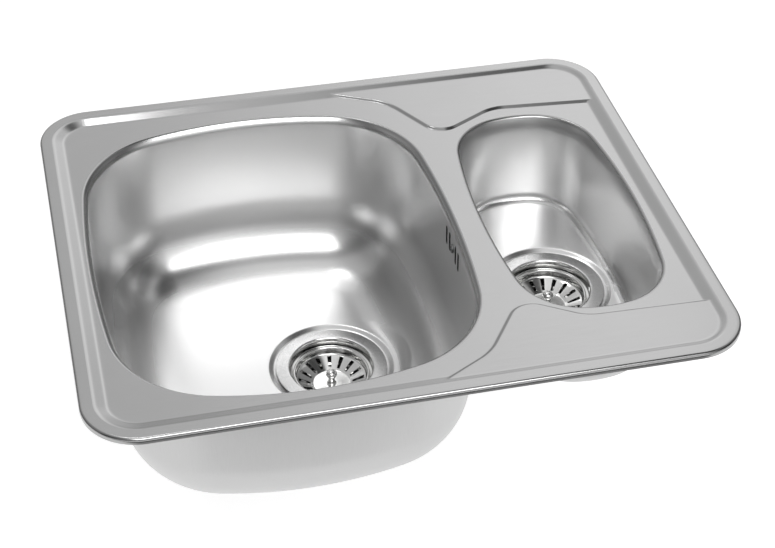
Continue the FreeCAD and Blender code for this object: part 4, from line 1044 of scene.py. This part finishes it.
floor_level = cad_box[0][2] - FLOOR_DROP
floor_mesh = bpy.data.meshes.new("pale_floor")
corners = [(x * FLOOR_HALF, y * FLOOR_HALF, floor_level)
           for x, y in ((-1, -1), (1, -1), (1, 1), (-1, 1))]
floor_mesh.from_pydata(corners, [], [(0, 1, 2, 3)])
floor = bpy.data.objects.new("pale_floor", floor_mesh)
link(floor)
sweep, tree, place = new_material("matt_white_sweep")
depth = add(tree, "SeparateXYZ", Vector=place).outputs["Y"]
behind_band = add(tree, "MapRange", SMOOTH, Value=depth, i1=-0.88, i2=-0.78)
before_band = add(tree, "MapRange", SMOOTH, Value=depth, i1=-1.30, i2=-1.10, i3=1.0, i4=0.0)
pale = add(tree, "Math", {"operation": "MAXIMUM"}, i0=behind_band, i1=before_band)
tone = add(tree, "Mix", COLOUR, Factor=pale, A=linear("#2c2c2c"), B=linear("#fbfbfb"))
glow = add(tree, "MapRange", Value=pale, i3=0.0, i4=FLOOR_GLOW)
texture = grains(tree, place, (4.0,) * 3)
bump = add(tree, "Bump", Strength=1.0, Distance=0.01 * MM, Height=texture)
paper = add(tree, "BsdfPrincipled", Base_Color=tone.outputs["Result"], Roughness=0.8,
            Emission_Color=(1, 1, 1, 1), Emission_Strength=glow, Normal=bump)
add(tree, "OutputMaterial", Surface=paper)
floor_mesh.materials.append(sweep)
area_light("overhead", (0.0, -1.85, 2.3), (0.0, -1.85, 0), (1.9, 1.6), 45)
area_light("back_strip", (-0.30, 0.95, 2.3), (-0.30, 0.95, 0), (0.42, 0.4), 3.4)

# %% Sky of soft bands
# Each stop is a place along an axis, from -1 to 1, and the brightness there. The right side of
# the sky is dark at the top. Ramps hold at most 1, so they get a share of each brightness.
LOW_STOPS = [(-0.3, 0.8), (0, 0.9), (0.22, 0.7), (0.48, 1.2)]
BY_HEIGHT = LOW_STOPS + [(1.0, 1.1)]
RIGHT_BY_HEIGHT = LOW_STOPS + [(0.76, 1.1), (0.85, 0.08), (1.0, 0.08)]
BY_SIDE = [(-0.75, 0.3), (-0.4, 0.5), (0.0, 0.8), (0.34, 1.36), (0.46, 0.85), (0.6, 0.6),
           (0.75, 0.2)]
BY_DEPTH = [(-0.6, 0.8), (-0.42, 0.4), (-0.27, 0.4), (-0.08, 1.0)]
RAMP_SHARE = 0.5


def bands(tree, value, stops):
    """Share of a brightness that runs softly through its stops along a direction."""
    share = add(tree, "MapRange", Value=value, i1=-1.0, i2=1.0)
    strip = add(tree, "ValToRGB", Fac=share)
    strip.color_ramp.interpolation = "EASE"
    for index, (level, bright) in enumerate(stops):
        elements = strip.color_ramp.elements
        stop = elements[index] if index < 2 else elements.new((level + 1) / 2)
        stop.position = (level + 1) / 2
        stop.color = (bright * RAMP_SHARE,) * 3 + (1,)
    return strip.outputs["Color"]


world = bpy.data.worlds.new("studio")
bpy.context.scene.world = world
world.use_nodes = True
sky = world.node_tree
direction = add(sky, "TexCoord").outputs["Generated"]
compass = add(sky, "SeparateXYZ", Vector=direction).outputs
across = bands(sky, compass["X"], BY_SIDE)
away = bands(sky, compass["Y"], BY_DEPTH)
product = add(sky, "Math", TIMES, i0=across, i1=away)
strength = add(sky, "Math", TIMES, i0=product, i1=1 / RAMP_SHARE ** 3)
to_right = add(sky, "MapRange", SMOOTH, Value=compass["X"], i1=0.12, i2=0.28)
upward = add(sky, "Mix", COLOUR, Factor=to_right, A=bands(sky, compass["Z"], BY_HEIGHT),
             B=bands(sky, compass["Z"], RIGHT_BY_HEIGHT))
glow = sky.nodes["Background"].inputs
sky.links.new(upward.outputs["Result"], glow["Color"])
sky.links.new(strength.outputs[0], glow["Strength"])
bpy.context.scene.view_settings.view_transform = "Standard"
print("studio set, floor at", round(floor_level, 4), "m")
